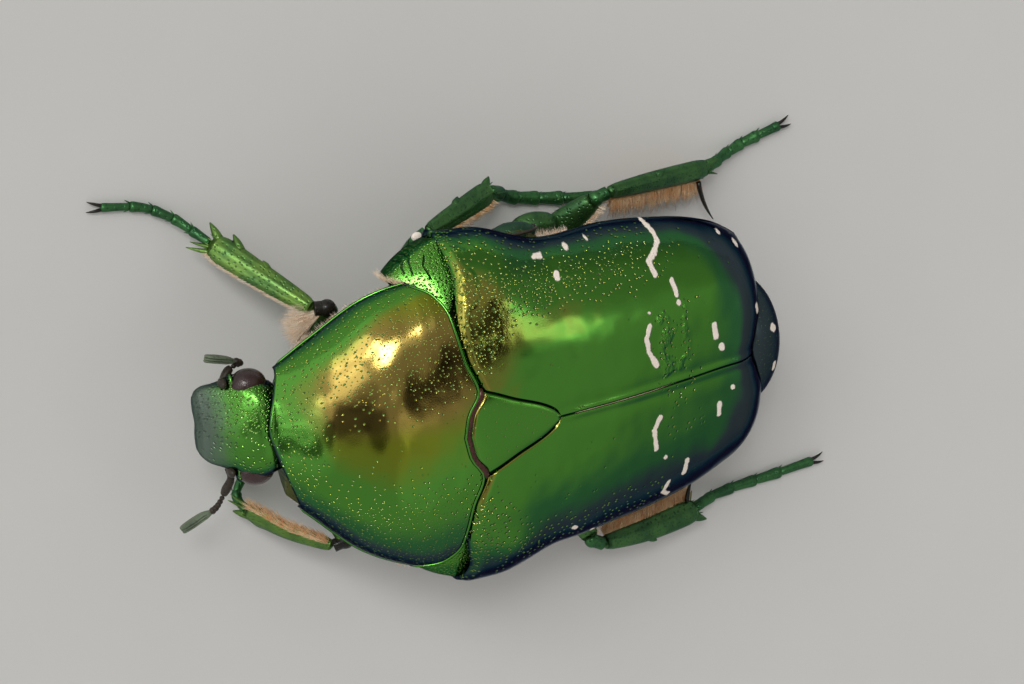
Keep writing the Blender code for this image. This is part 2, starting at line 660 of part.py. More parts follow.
def build():
    for obj in list(bpy.data.objects):
        bpy.data.objects.remove(obj)
    parts = bpy.data.collections.new("flower chafer")
    bpy.context.scene.collection.children.link(parts)
    shell_paint = paint("green cuticle", GREEN, 0.25, 1.0)
    limb_paint = paint("dark green cuticle", DARK_GREEN, 0.35, 0.9)
    belly_paint = paint("bronze cuticle", BRONZE, 0.4, 0.8)
    eye_paint = paint("eye", EYE_BROWN, 0.15, 0.0)
    nodes = [
        (head_with_palps("head"), shell_paint),
        (plate("pronotum", pronotum_rows(), SHELL), shell_paint),
        (prothorax("prothorax"), belly_paint),
        (combine(thorax("thorax"), [ellipsoid("spine", *MIDDLE_SPINE)], "UNION"), belly_paint),
        (abdomen("abdomen"), belly_paint),
        (plate("scutellum", scutellum_rows(), SHELL), shell_paint),
        (pygidium("pygidium"), shell_paint),
    ]
    for side_name, side in (("right", -1), ("left", 1)):
        nodes += [
            (eye(f"eye_{side_name}", side), eye_paint),
            (antenna(f"antenna_{side_name}", side_name), limb_paint),
            (plate(f"elytron_{side_name}", elytron_rows(side), SHELL), shell_paint),
            (mesepimeron(f"mesepimeron_{side_name}", side), shell_paint),
        ]
        for pair in COXAE:
            leg = LEGS[(pair, side_name)]
            label = f"{pair}_{side_name}"
            nodes += [
                (coxa(f"coxa_{label}", pair, side), belly_paint),
                (limb(f"femur_{label}", leg["femur"], FEMUR_GIRTH, femur_face(leg)), limb_paint),
                (tibia(f"tibia_{label}", pair, leg), limb_paint),
                (tarsus(f"tarsus_{label}", leg), limb_paint),
            ]
    stand = bpy.data.objects.new("beetle", None)
    parts.objects.link(stand)
    for obj, finish in nodes:
        bake(obj)
        obj.data.materials.clear()
        obj.data.materials.append(finish)
        bpy.context.scene.collection.objects.unlink(obj)
        parts.objects.link(obj)
        obj.parent = stand
    corners = [obj.data.vertices[i].co for obj, finish in nodes for i in range(len(obj.data.vertices))]
    low = [min(corner[axis] for corner in corners) for axis in range(3)]
    high = [max(corner[axis] for corner in corners) for axis in range(3)]
    stand.location = (-(low[0] + high[0]) / 2, -(low[1] + high[1]) / 2, -low[2])
    bpy.context.view_layer.update()


build()
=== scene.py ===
"""Looks of the flower chafer, a metallic green scarab beetle, as a still life-size model.

Lengths are in millimetres in the beetle's own frame, as in the part's source: the head looks
along -Y, +Z is up, the floor is z = 0 and y = 0 lies at the front of the scutellum. SHIFT moves
them into the model's frame and MM turns them into metres when a mesh is made.
"""
import math
import random

import bmesh
import bpy
from mathutils import Matrix, Vector


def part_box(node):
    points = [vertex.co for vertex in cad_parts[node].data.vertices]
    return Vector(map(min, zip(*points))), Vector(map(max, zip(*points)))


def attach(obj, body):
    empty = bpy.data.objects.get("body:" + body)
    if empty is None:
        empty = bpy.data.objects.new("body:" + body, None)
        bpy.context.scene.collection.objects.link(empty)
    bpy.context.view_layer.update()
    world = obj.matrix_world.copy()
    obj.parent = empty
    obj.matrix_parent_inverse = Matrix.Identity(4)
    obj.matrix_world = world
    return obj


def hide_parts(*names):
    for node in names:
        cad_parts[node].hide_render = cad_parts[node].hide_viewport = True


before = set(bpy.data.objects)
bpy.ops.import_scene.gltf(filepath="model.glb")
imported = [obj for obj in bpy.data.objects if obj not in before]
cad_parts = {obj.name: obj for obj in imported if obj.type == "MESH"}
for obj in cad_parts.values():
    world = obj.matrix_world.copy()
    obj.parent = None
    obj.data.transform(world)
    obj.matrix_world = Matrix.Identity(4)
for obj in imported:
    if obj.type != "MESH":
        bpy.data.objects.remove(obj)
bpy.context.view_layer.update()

MM = 0.001
UP = (0.0, 0.0, 1.0)
SIDES = (("right", -1), ("left", 1))
# The scutellum's tip, whose place in the model's frame gives the shift from the beetle's own frame.
SCUTELLUM_TIP = 3.66
scutellum_low, scutellum_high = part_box("scutellum")
SHIFT = Vector(((scutellum_low.x + scutellum_high.x) / 2 / MM, scutellum_high.y / MM - SCUTELLUM_TIP, 0.0))
# How thick the plates of the back are, and how near two points are when they count as one.
SHELL = 0.35
MERGE_DISTANCE = 0.0005

# The body's outline from above, and the heights of its edge, its middle line and its belly.
BACK_WIDTH = ((-0.3, 6.62), (0.2, 6.67), (1.6, 6.63), (4.3, 5.82), (7.0, 5.71), (9.8, 5.31),
              (11.8, 4.66), (12.8, 4.04), (13.3, 3.6))
BACK_EDGE = ((0.2, 6.11), (1.6, 6.14), (4.3, 6.24), (7.0, 5.46), (9.8, 4.94), (11.8, 4.37), (12.8, 4.14))
RIDGE = ((-6.4, 6.71), (-4.5, 8.23), (-2.2, 9.06), (0.2, 9.16), (3.0, 8.94), (6.0, 8.52),
         (9.0, 7.81), (11.5, 7.13), (12.9, 6.96))
PRONOTUM_WIDTH = ((-6.6, 1.95), (-6.2, 2.25), (-5.0, 3.22), (-3.0, 4.70), (-1.4, 5.30), (-0.8, 5.45))
PRONOTUM_EDGE = ((-6.3, 5.83), (-5.0, 6.14), (-3.0, 6.67), (-1.4, 7.06))
BELLY = ((-6.2, 4.2), (-4.6, 2.9), (-3.0, 2.3), (-1.0, 1.85), (1.0, 1.45), (4.0, 1.35), (8.0, 1.6),
         (11.0, 2.3), (12.6, 3.4))
# The back's top, and how much a fall in height adds to the way outward when the back is unrolled.
BACK_TOP = 9.2
UNROLLED = 0.7
# How square the arcs of the back and of the pronotum are. At 2 an arc is part of an ellipse.
BACK_CURVE = 2.5
PRONOTUM_CURVE = 2.2
PRONOTUM_BASE = ((0.0, -0.12), (0.8, 0.05), (1.6, 0.5), (2.7, 0.12), (3.7, -0.06), (4.4, -0.2),
                 (5.0, -0.5), (5.42, -1.1))
PRONOTUM_FRONT = ((-2.3, -6.2), (-1.56, -6.38), (-0.79, -6.5), (0.0, -6.56), (0.83, -6.42), (1.53, -6.17),
                  (2.14, -5.83), (2.75, -5.35))
ELYTRON_FRONT = ((1.9, 0.85), (2.7, 0.5), (3.7, 0.35), (4.4, 0.38), (5.0, 0.50), (5.6, 0.62), (6.06, 0.58),
                 (6.4, 0.55), (6.6, 0.6))
ELYTRON_REAR = ((0.15, 12.95), (1.0, 13.15), (1.8, 13.3), (2.6, 13.3), (3.6, 13.22), (4.3, 12.95))
SCUTELLUM_HALF = ((0.1, 1.66), (0.55, 1.6), (2.0, 1.0), (3.0, 0.58), (3.45, 0.3), (SCUTELLUM_TIP, 0.08))
# The scutellum's gap behind the pronotum's base, how far it is sunk, and how far its middle rises again.
SCUTELLUM_GAP = 0.22
SCUTELLUM_SUNK = 0.05
SCUTELLUM_SWELL = 0.06
# A wing case's gap beside the scutellum, half of the seam, and the run and drop of its rounded rear.
SCUTELLUM_SIDE_GAP = 0.09
SEAM = 0.04
REAR_ROUNDING = 1.5
REAR_DROP = 0.8
# A wing case's front lip under the pronotum: how far forward it reaches, its drop and its spread.
LIP_REACH = 0.34
LIP_DROP = 0.30
LIP_SPREAD = 0.20
# The furrow beside the seam: where it starts and the run to its full depth, its depth, place and spread.
FURROW_START = 3.4
FURROW_RUN = 1.0
FURROW_DEPTH = 0.04
FURROW_PLACE = 0.30
FURROW_SPREAD = 0.14
# The pronotum's rounded hind corners: the share of its width where they start, their run and depth.
CORNER_START = 0.8
CORNER_RUN = 0.2
CORNER_DEPTH = 0.45
RIM_DEPTH = ((0.0, 0.9), (5.0, 0.8), (12.0, 0.5))
TRUNK_SIDE = ((-0.6, 4.9), (0.6, 5.5), (2.6, 5.9), (3.8, 6.0), (5.0, 5.4), (9.8, 4.85),
              (11.2, 4.25), (12.1, 3.4))
TRUNK_INSET = ((-0.6, 4.1), (0.3, 4.5), (1.2, 5.55), (4.3, 4.8), (9.8, 4.3), (12.1, 2.9))
PROTHORAX_BELLY_CURVE = 1.35
TRUNK_BELLY_CURVE = 1.75
PROTHORAX_SPAN = (-5.7, -0.7)
THORAX_SPAN = (-0.7, 5.6)
ABDOMEN_SPAN = (5.4, 12.2)
SEGMENT_MARKS = (6.9, 8.15, 9.4, 10.65)
SEGMENT_LENGTH = 1.25
SEGMENT_STEP = 0.14

# Beads between the plates: the pronotum's rim, the seam, and the band in front of the scutellum,
# which reaches this far to each side and lies this far behind and below the pronotum's base. The
# seam sinks by SEAM_SINK over a run from SEAM_SINK_START.
RIM_GIRTH = 0.055
SEAM_GIRTH = 0.018
SEAM_ROWS = slice(33, 100)
SEAM_DROP = 0.01
SEAM_SINK = 0.16
SEAM_SINK_START = 7.6
SEAM_SINK_RUN = 1.6
BAND_GIRTH = 0.15
BAND_HALF = 1.72
BAND_SINK = 0.10

# The trunk under the plates: how far its lid lies below the ridge, how far its ledge and sides stay
# inside the plates' edges, how far its rim lies below them, and how far its lid's foot lies above that
# rim. The lid falls away over the last stretch, and a groove runs along the breast: height and spread.
PROTHORAX_LID = 0.95
PROTHORAX_LEDGE = 0.9
PROTHORAX_GAP = 0.12
PROTHORAX_LID_STEP = 0.05
TRUNK_LID = 1.0
TRUNK_GAP = 0.05
TRUNK_LID_STEP = 0.1
TAIL_FALL = 1.5
BREAST_GROOVE = (0.10, 0.18)

# The prothorax turns a little towards the beetle's right, and leans that way. The head is carried
# aside by this turn, but still faces forward.
TURN = math.radians(-5.2)
LEAN = math.radians(-3.5)
TURN_PIVOT = (0.0, 0.3, 8.0)
TURN_RUN = 3.0

# The head's sections: y, middle height, half-width, height above and depth below.
HEAD = ((-8.50, 4.04, 1.00, 0.18, 0.20), (-8.38, 4.14, 1.25, 0.34, 0.34), (-8.15, 4.32, 1.44, 0.52, 0.50),
        (-7.85, 4.50, 1.53, 0.75, 0.70), (-7.60, 4.62, 1.62, 0.90, 0.85), (-7.30, 4.76, 1.78, 1.05, 1.00),
        (-7.00, 4.88, 1.88, 1.16, 1.15), (-6.65, 5.00, 1.88, 1.22, 1.20), (-6.30, 5.05, 1.78, 1.22, 1.15),
        (-5.85, 5.05, 1.60, 1.15, 1.00))
HEAD_CURVE = 2.6
HEAD_SHIFT = 0.08
# The clypeus' raised rim: y, spread and height of its front part, distance from the middle, spread
# and height of its flanks, and where the flanks end and the run over which they fade.
CLYPEUS_FRONT = (-8.40, 0.10, 0.06)
CLYPEUS_FLANK = (0.95, 0.08, 0.05)
CLYPEUS_END = (-7.5, 0.4)
# The brow and the two dents in front of it as humps, and the notch in the head's front edge: depth,
# half-width and reach.
BROW = ((0.0, -7.3), (0.25, 0.9), 0.05)
BROW_DENTS = ((0.5, -7.7), (0.25, 0.5), -0.05)
HEAD_NOTCH = (0.06, 0.35, 0.2)
EYE_CENTRE = (1.60, -6.72, 5.15)
EYE_RADII = (0.57, 0.68, 0.58)
# The ledge in front of an eye and the socket of an antenna: middle, with x outward, and radii.
EYE_LEDGE = ((1.68, -7.34, 5.06), (0.34, 0.12, 0.26))
ANTENNA_SOCKET = ((1.66, -7.60, 4.98), (0.20, 0.15, 0.30))
PYGIDIUM_CENTRE = (0.12, 12.65, 4.4)
PYGIDIUM_RADII = (2.6, 1.72, 1.75)

# Each antenna's middle line, base first.
ANTENNAE = {
    "right": ((-1.55, -7.60, 4.45), (-1.95, -7.40, 4.25), (-2.36, -6.95, 4.05), (-2.45, -6.62, 4.05),
              (-2.68, -7.15, 4.12), (-2.92, -7.98, 4.18)),
    "left": ((1.35, -7.50, 4.25), (1.80, -7.36, 4.15), (2.30, -7.55, 4.00), (2.95, -7.95, 3.90),
             (3.30, -8.50, 3.70), (3.70, -9.20, 3.55)),
}
# Girths along an antenna: its scape, and a leaf of its club. Between them stand small joints, each
# this far along from the last and this much bigger. The leaves are this thick and lie this far apart,
# which they reach over the first stretch.
SCAPE_GIRTH = ((0.0, 0.10), (0.1, 0.12), (0.3, 0.17), (0.38, 0.12))
LEAF_GIRTH = ((0.60, 0.08), (0.68, 0.15), (0.85, 0.21), (0.95, 0.18), (1.0, 0.08))
STALK_JOINTS = 5
STALK_PLACES = (0.41, 0.045)
STALK_SIZES = (0.095, 0.010)
LEAF_THICKNESS = 0.055
LEAF_SHIFT = 0.09
LEAF_STRETCH = 0.12
# A mouth feeler's middle line, and its joints: start, end and girth.
PALP = ((0.70, -7.55, 3.85), (0.90, -7.85, 3.5), (0.85, -8.15, 3.35))
PALP_JOINTS = ((0.0, 0.4, 0.13), (0.36, 0.7, 0.14), (0.66, 1.0, 0.15))
MIDDLE_SPINE = ((0.0, -0.25, 1.50), (0.50, 0.65, 0.42))
COXAE = {
    "front": ((1.30, -2.90, 2.00), (0.85, 1.00, 1.20)),
    "middle": ((1.70, 1.00, 1.75), (1.20, 0.85, 0.90)),
    "hind": ((2.75, 4.60, 2.10), (2.45, 0.75, 1.05)),
}

# The middle lines of each leg's femur, tibia and foot, each from the body on, and the way outward in
# which its tibia is widest and its teeth point.
LEGS = {
    ("front", "right"): {
        "femur": ((-2.45, -2.95, 2.30), (-3.20, -3.15, 3.20), (-4.00, -3.30, 4.25)),
        "tibia": ((-4.02, -3.78, 4.20), (-5.10, -5.20, 2.80), (-6.20, -6.58, 1.40)),
        "tarsus": ((-6.50, -6.95, 0.95), (-7.10, -7.70, 0.45), (-7.60, -8.80, 0.25), (-7.82, -10.20, 0.25)),
        "outward": (-0.80, 0.50, -0.20),
    },
    ("front", "left"): {
        "femur": ((2.45, -2.90, 2.20), (4.00, -2.90, 2.60), (5.60, -2.85, 3.10)),
        "tibia": ((5.75, -3.30, 3.00), (5.10, -4.80, 2.20), (4.35, -6.05, 1.30)),
        "tarsus": ((4.00, -6.20, 0.85), (3.30, -5.60, 0.35), (2.70, -4.60, 0.25), (2.20, -3.30, 0.25)),
        "outward": (0.55, -0.10, -0.75),
    },
    ("middle", "right"): {
        "femur": ((-3.15, 1.05, 1.45), (-4.30, 0.85, 2.05), (-5.60, 0.60, 3.40)),
        "tibia": ((-5.85, 1.00, 3.45), (-6.10, 2.70, 2.45), (-6.30, 4.35, 1.35)),
        "tarsus": ((-6.05, 4.75, 0.90), (-5.60, 5.50, 0.40), (-5.20, 7.20, 0.25), (-4.95, 9.00, 0.25)),
        "outward": (-0.90, 0.0, -0.30),
    },
    ("middle", "left"): {
        "femur": ((3.15, 1.05, 1.45), (4.60, 1.15, 1.95), (6.30, 1.20, 3.00)),
        "tibia": ((6.65, 1.55, 3.00), (6.90, 3.10, 2.15), (6.95, 4.75, 1.30)),
        "tarsus": ((6.85, 5.15, 0.90), (6.70, 6.00, 0.40), (6.40, 7.60, 0.25), (6.15, 9.40, 0.25)),
        "outward": (0.90, 0.0, -0.30),
    },
    ("hind", "right"): {
        "femur": ((-3.50, 5.80, 1.30), (-4.60, 6.75, 1.95), (-5.80, 7.95, 2.85)),
        "tibia": ((-5.95, 8.42, 2.85), (-5.80, 10.80, 2.00), (-5.62, 13.30, 1.15)),
        "tarsus": ((-5.68, 13.75, 0.85), (-5.85, 14.50, 0.42), (-6.15, 15.60, 0.25), (-6.50, 16.85, 0.25)),
        "outward": (-0.75, 0.10, 0.60),
    },
    ("hind", "left"): {
        "femur": ((3.50, 5.80, 1.30), (5.60, 6.40, 1.90), (7.80, 7.15, 2.80)),
        "tibia": ((8.05, 7.60, 2.75), (8.20, 10.00, 1.95), (8.15, 12.30, 1.15)),
        "tarsus": ((8.10, 12.75, 0.85), (8.05, 13.60, 0.40), (7.90, 15.50, 0.25), (7.60, 17.90, 0.25)),
        "outward": (0.75, 0.10, 0.60),
    },
}
# Girths along a limb: share of its length, half-width and half-thickness.
FEMUR_GIRTH = ((0.0, 0.30, 0.28), (0.15, 0.50, 0.36), (0.5, 0.62, 0.40), (0.85, 0.46, 0.34),
               (1.0, 0.30, 0.26))
TIBIA_GIRTH = {
    "front": ((0.0, 0.22, 0.20), (0.1, 0.33, 0.25), (0.5, 0.46, 0.29), (0.85, 0.52, 0.28),
              (1.0, 0.38, 0.22)),
    "middle": ((0.0, 0.22, 0.20), (0.1, 0.32, 0.25), (0.5, 0.42, 0.29), (0.85, 0.46, 0.29),
               (1.0, 0.36, 0.24)),
    "hind": ((0.0, 0.24, 0.22), (0.1, 0.34, 0.28), (0.5, 0.46, 0.34), (0.85, 0.50, 0.35),
             (1.0, 0.40, 0.28)),
}
# Teeth on a tibia: share of its length, side (1 outward, -1 inward), length, lean to the tip.
TIBIA_TEETH = {
    "front": ((0.52, 1, 0.12, 1.2), (0.78, 1, 0.50, 1.3), (0.97, 1, 0.60, 1.6), (0.97, -1, 0.85, 2.2)),
    "middle": ((0.50, 1, 0.15, 0.8), (0.97, 1, 0.30, 1.4), (0.97, -1, 0.60, 1.6)),
    "hind": ((0.48, 1, 0.12, 0.8), (0.97, 1, 0.35, 1.4), (0.97, -1, 0.5, 0.9)),
}
# Where on a tibia its end teeth stand, how thick its outer and inner teeth are, the length and girth
# of its end spur and of the fine spines round its tip, and their number and oval.
TIBIA_END = 0.97
TOOTH_GIRTHS = {1: 0.19, -1: 0.10}
END_SPUR = (0.75, 0.08)
END_SPINE = (0.2, 0.03)
END_SPINES = 10
END_OVAL = (0.30, 0.20)
# Channels along a tibia: their angles round it and their spread. A limb's ends round off over this
# share of its length, and a knee's neck has these half-widths.
GROOVE_ANGLES = (1.1, 2.0, 4.3, 5.2)
GROOVE_SPREAD = 0.16
ROUNDED_END = 0.05
KNEE_NECK = (0.27, 0.25)
# A foot's joints: their number, where each starts, how far it laps the next, and the girth along a
# joint and along the last one, with the claws. The length and girth of claws and spines follow.
FOOT_JOINTS = 5
FOOT_STARTS = (0.0, 0.19, 0.37, 0.55, 0.74, 1.0)
FOOT_LAP = 0.012
JOINT_GIRTH = ((0.0, 0.13), (0.12, 0.17), (0.6, 0.20), (0.88, 0.225), (0.96, 0.20), (1.0, 0.13))
LAST_JOINT_GIRTH = ((0.0, 0.12), (0.1, 0.155), (0.6, 0.165), (0.92, 0.185), (1.0, 0.12))
CLAW = (0.60, 0.075)
FOOT_SPINE = (0.24, 0.035)
# The height of a foot that rests, how near to it a foot is lowered, and by how much at most.
FOOT_FLOOR = 0.25
FOOT_NEAR = 0.12
FOOT_SINK = 0.06
# How stout the feet of each pair are, against the common girth of a foot.
TARSUS_STOUT = {"front": 0.9, "middle": 1.25, "hind": 1.05}
# The long inner spur of a hind tibia: its root from the tibia's tip, direction and bend, with x
# inward, and its length on each side.
HIND_SPUR = ((0.45, -0.45, 0.15), (1.0, 0.15, -0.15), (0.0, 0.28, -0.10), {"right": 1.75, "left": 0.8})
SPUR_GIRTH = 0.10
KNEE_RADII = {"front": (0.31, 0.34, 0.30), "middle": (0.27, 0.27, 0.25), "hind": (0.30, 0.30, 0.28)}
# Middle and radii of the chalky spot on the right middle knee, of the right hind leg's second
# segment, and of the plate over a hind leg's root on the left side.
KNEE_SPOT = ((-5.81, 0.55, 3.56), (0.17, 0.21, 0.13))
HIND_ROOT = ((-5.02, 5.60, 2.35), (0.50, 0.95, 0.50))
COXA_PLATE = ((5.76, 3.74, 4.92), (0.42, 0.90, 0.50))
# The rim round such a plate: its place as shares of the plate's radii, and its girth.
COXA_RIM = (0.30, 1.02, 0.98)
COXA_RIM_GIRTH = 0.06

# Fringes of hair on the limbs: pair, side, limb, span of its length, angles from its wide side,
# length, number, lean to the tip, and whether the hair is pale.
FRINGES = (
    ("front", "right", "femur", (0.25, 1.0), (155, 205), 1.05, 1100, 0.15, True),
    ("front", "right", "tibia", (0.12, 0.97), (165, 200), 0.24, 340, 0.9, True),
    ("front", "left", "femur", (0.2, 0.95), (150, 210), 0.45, 300, 0.3, True),
    ("front", "left", "tibia", (0.05, 0.97), (150, 205), 0.38, 800, 0.7, False),
    ("middle", "right", "femur", (0.1, 0.95), (-30, 25), 0.35, 240, 0.5, True),
    ("middle", "left", "femur", (0.1, 0.95), (-30, 25), 0.35, 240, 0.5, True),
    ("middle", "right", "tibia", (0.1, 0.97), (150, 210), 0.42, 500, 0.6, False),
    ("middle", "left", "tibia", (0.1, 0.97), (150, 210), 0.42, 500, 0.6, False),
    ("hind", "right", "femur", (0.03, 0.97), (-40, 20), 0.40, 800, 0.4, True),
    ("hind", "left", "femur", (0.03, 0.97), (160, 220), 0.20, 400, 0.4, True),
    ("hind", "right", "tibia", (0.06, 0.96), (150, 215), 1.15, 2600, 0.25, False),
    ("hind", "left", "tibia", (0.06, 0.96), (150, 215), 0.8, 1800, 0.25, False),
)

# Hairs on limbs and on edges: girth, droop, how far their directions and lengths stray, and how far
# the roots on an edge do. HAIR_STEPS is the number of rings along one.
LIMB_HAIR_GIRTH = 0.012
LIMB_HAIR_DROOP = 0.15
LIMB_HAIR_STRAY = 0.18
LIMB_HAIR_LENGTHS = (0.65, 1.1)
EDGE_HAIR_GIRTH = 0.010
EDGE_HAIR_DROOP = 0.1
EDGE_HAIR_STRAY = 0.25
EDGE_HAIR_LENGTHS = (0.5, 1.1)
EDGE_ROOT_STRAY = 0.05
HAIR_STEPS = 3

# Hair along an edge of the shoulder plates, under the pronotum's edges and beside the hind legs:
# direction, with x outward, length and number.
SHOULDER_HAIR = ((0.8, -0.6, 0.1), 0.42, 260)
FLANK_HAIR = ((0.35, -0.2, -0.9), 0.30, 500)
SIDE_HAIR = ((0.7, 0.1, -0.5), 0.40, 300)

# Soft humps and dents of a wing case: middle (distance from the seam, y), radii, height.
ELYTRON_HUMPS = (((5.0, 1.9), (0.75, 1.1), 0.16), ((3.3, 11.0), (0.9, 1.0), 0.10),
                 ((5.3, 0.95), (0.5, 0.45), -0.05), ((1.35, 8.6), (0.8, 3.0), -0.04))

# The shoulder plates' front and hind edges on the left side, from the pronotum outward and down, the
# way they swell out, and by how much at their inner end and, added to it, at their outer one.
SHOULDER_FORE = ((4.15, -0.25, 7.66), (4.60, -0.45, 7.33), (5.00, -0.85, 6.98), (5.25, -1.35, 6.66),
                 (5.35, -1.75, 6.20), (5.25, -1.65, 5.30))
SHOULDER_HIND = ((4.25, 0.10, 7.78), (5.00, 0.45, 7.42), (5.60, 0.60, 7.08), (6.10, 0.50, 6.70),
                 (6.56, 0.35, 6.16), (6.35, 0.30, 5.10))
SHOULDER_OUT = (0.75, -0.45, 0.35)
SHOULDER_SWELL = (0.05, 0.21)

# Chalky marks: each is a line of (x, y) points and a half-width.
MARKS = {
    "right": (
        (((-5.60, 3.56), (-5.58, 3.88)), 0.07), (((-4.96, 4.24), (-4.87, 4.22)), 0.11),
        (((-5.62, 4.98), (-5.60, 5.00)), 0.085), (((-5.64, 5.96), (-5.62, 5.98)), 0.045),
        (((-5.46, 8.70), (-5.26, 8.80), (-5.02, 8.80), (-4.74, 8.49), (-4.55, 8.14), (-4.06, 8.28)), 0.096),
        (((-3.73, 8.94), (-3.22, 9.03)), 0.0915), (((-2.95, 9.05), (-2.92, 9.07)), 0.0915),
        (((-2.88, 7.72), (-2.87, 7.73)), 0.055),
        (((-2.42, 7.68), (-2.00, 7.48), (-1.50, 7.52), (-0.90, 7.85)), 0.096),
        (((-1.70, 10.56), (-1.24, 10.59)), 0.116), (((-0.82, 10.82), (-0.78, 10.84)), 0.134),
        (((-4.50, 11.76), (-4.48, 11.79)), 0.065), (((-4.02, 12.40), (-3.92, 12.50)), 0.08),
        (((-1.80, 12.70), (-1.60, 12.74)), 0.11),
    ),
    "left": (
        (((1.15, 7.90), (1.60, 7.64), (2.37, 7.73)), 0.0976), (((2.85, 8.18), (2.87, 8.20)), 0.08),
        (((3.34, 9.24), (3.89, 9.18)), 0.104), (((4.11, 8.50), (4.55, 8.36), (4.80, 8.68)), 0.0915),
        (((1.40, 10.66), (1.80, 10.63)), 0.0976), (((0.88, 11.26), (0.90, 11.28)), 0.08),
        (((4.84, 4.42), (4.90, 4.48)), 0.0976), (((5.45, 5.44), (5.52, 5.50)), 0.0976),
        (((5.62, 7.40), (5.60, 7.48)), 0.0976),
    ),
    "tail": ((((-0.62, 13.62), (-0.52, 13.70)), 0.122), (((0.9, 13.7), (1.1, 13.68)), 0.0976)),
    "shoulder": ((((-6.62, -0.42), (-6.58, -0.34)), 0.14),),
}

# Fine curved lines scored across the right shoulder plate.
SHOULDER_LINES = (
    (((-6.28, -0.66), (-5.95, -0.86), (-5.57, -0.84)), 0.012),
    (((-6.10, -0.30), (-5.80, -0.42), (-5.37, -0.27)), 0.012),
    (((-5.92, -1.05), (-5.76, -1.14), (-5.60, -1.10)), 0.012),
)


def clamp(value, low=0.0, high=1.0):
    return min(max(value, low), high)


def bell(away, spread):
    """1 where there is no distance away, and next to nothing beyond twice the spread."""
    return math.exp(-(away / spread) ** 2)


def squarer(wave, curve):
    """A sine or cosine for an outline that is squarer than a circle where curve is above 2."""
    return math.copysign(abs(wave) ** (2 / curve), wave)


def turns(count):
    """The angles of even steps round a full turn."""
    return [2 * math.pi * k / count for k in range(count)]


def smooth(stations):
    """A smooth function through (position, value) pairs that never overshoots them."""
    places = [station[0] for station in stations]
    values = [station[1] for station in stations]
    last = len(places) - 1
    slopes = [(values[i + 1] - values[i]) / (places[i + 1] - places[i]) for i in range(last)]
    bends = [slopes[0]]
    for before, after in zip(slopes, slopes[1:]):
        bends.append(0.0 if before * after <= 0 else 2 * before * after / (before + after))
    bends.append(slopes[-1])

    def value(x):
        x = clamp(x, places[0], places[-1])
        i = max(k for k in range(last) if places[k] <= x)
        step = places[i + 1] - places[i]
        t = (x - places[i]) / step
        near = (1 + 2 * t) * (1 - t) ** 2 * values[i] + t * (1 - t) ** 2 * step * bends[i]
        far = t * t * (3 - 2 * t) * values[i + 1] + t * t * (t - 1) * step * bends[i + 1]
        return near + far

    return value


back_width = smooth(BACK_WIDTH)
back_edge = smooth(BACK_EDGE)
ridge = smooth(RIDGE)
pronotum_width = smooth(PRONOTUM_WIDTH)
pronotum_edge = smooth(PRONOTUM_EDGE)
belly = smooth(BELLY)
pronotum_base = smooth(PRONOTUM_BASE)
pronotum_front = smooth(PRONOTUM_FRONT)
elytron_front = smooth(ELYTRON_FRONT)
elytron_rear = smooth(ELYTRON_REAR)
scutellum_half = smooth(SCUTELLUM_HALF)
rim_depth = smooth(RIM_DEPTH)
trunk_side = smooth(TRUNK_SIDE)
trunk_inset = smooth(TRUNK_INSET)
head_middle, head_width, head_above, head_below = (
    smooth([(section[0], section[k]) for section in HEAD]) for k in (1, 2, 3, 4)
)


def between(low, high, share):
    return low + (high - low) * share


def across(share, curve):
    """Share of the half-width at a share of the arc over a rounded back."""
    return math.sin(share * math.pi / 2) ** (2 / curve)


def dome(x, half_width, edge, top, curve):
    """Height of a rounded back at x, from the height of its edge and of its top."""
    share = min(abs(x) / half_width, 1.0)
    return edge + (top - edge) * math.sqrt(1 - share ** curve)


def hump(x, y, centre, radii, height):
    """Height of a soft round hump at (x, y), or of a dent where height is negative."""
    away = ((x - centre[0]) / radii[0]) ** 2 + ((y - centre[1]) / radii[1]) ** 2
    return height * math.exp(-away)


def turn_forebody(point):
    """Turn a point of the head or prothorax, less and less towards the prothorax's base."""
    pivot = Vector(TURN_PIVOT)
    x, y, z = Vector(point) - pivot
    share = clamp(-y / TURN_RUN)
    share = share * share * (3 - 2 * share)
    turn = TURN * share
    lean = LEAN * share
    x, y = x * math.cos(turn) - y * math.sin(turn), x * math.sin(turn) + y * math.cos(turn)
    x, z = x * math.cos(lean) + z * math.sin(lean), z * math.cos(lean) - x * math.sin(lean)
    return pivot + Vector((x, y, z))


def carry_head(point):
    """Move a point of the head aside with the prothorax's front, without turning it."""
    x, y, z = Vector(point) - Vector(TURN_PIVOT)
    x -= y * math.tan(TURN)
    x, z = x * math.cos(LEAN) + z * math.sin(LEAN), z * math.cos(LEAN) - x * math.sin(LEAN)
    return Vector(TURN_PIVOT) + Vector((x, y, z))


def sided(side, point):
    """A point or direction that is given with x outward, on the right side (-1) or the left (1)."""
    return (side * point[0], *point[1:])


def on_head(side, point):
    """A point of the head that is given with x outward, carried with the head."""
    x, y, z = point
    return carry_head((HEAD_SHIFT + side * x, y, z))


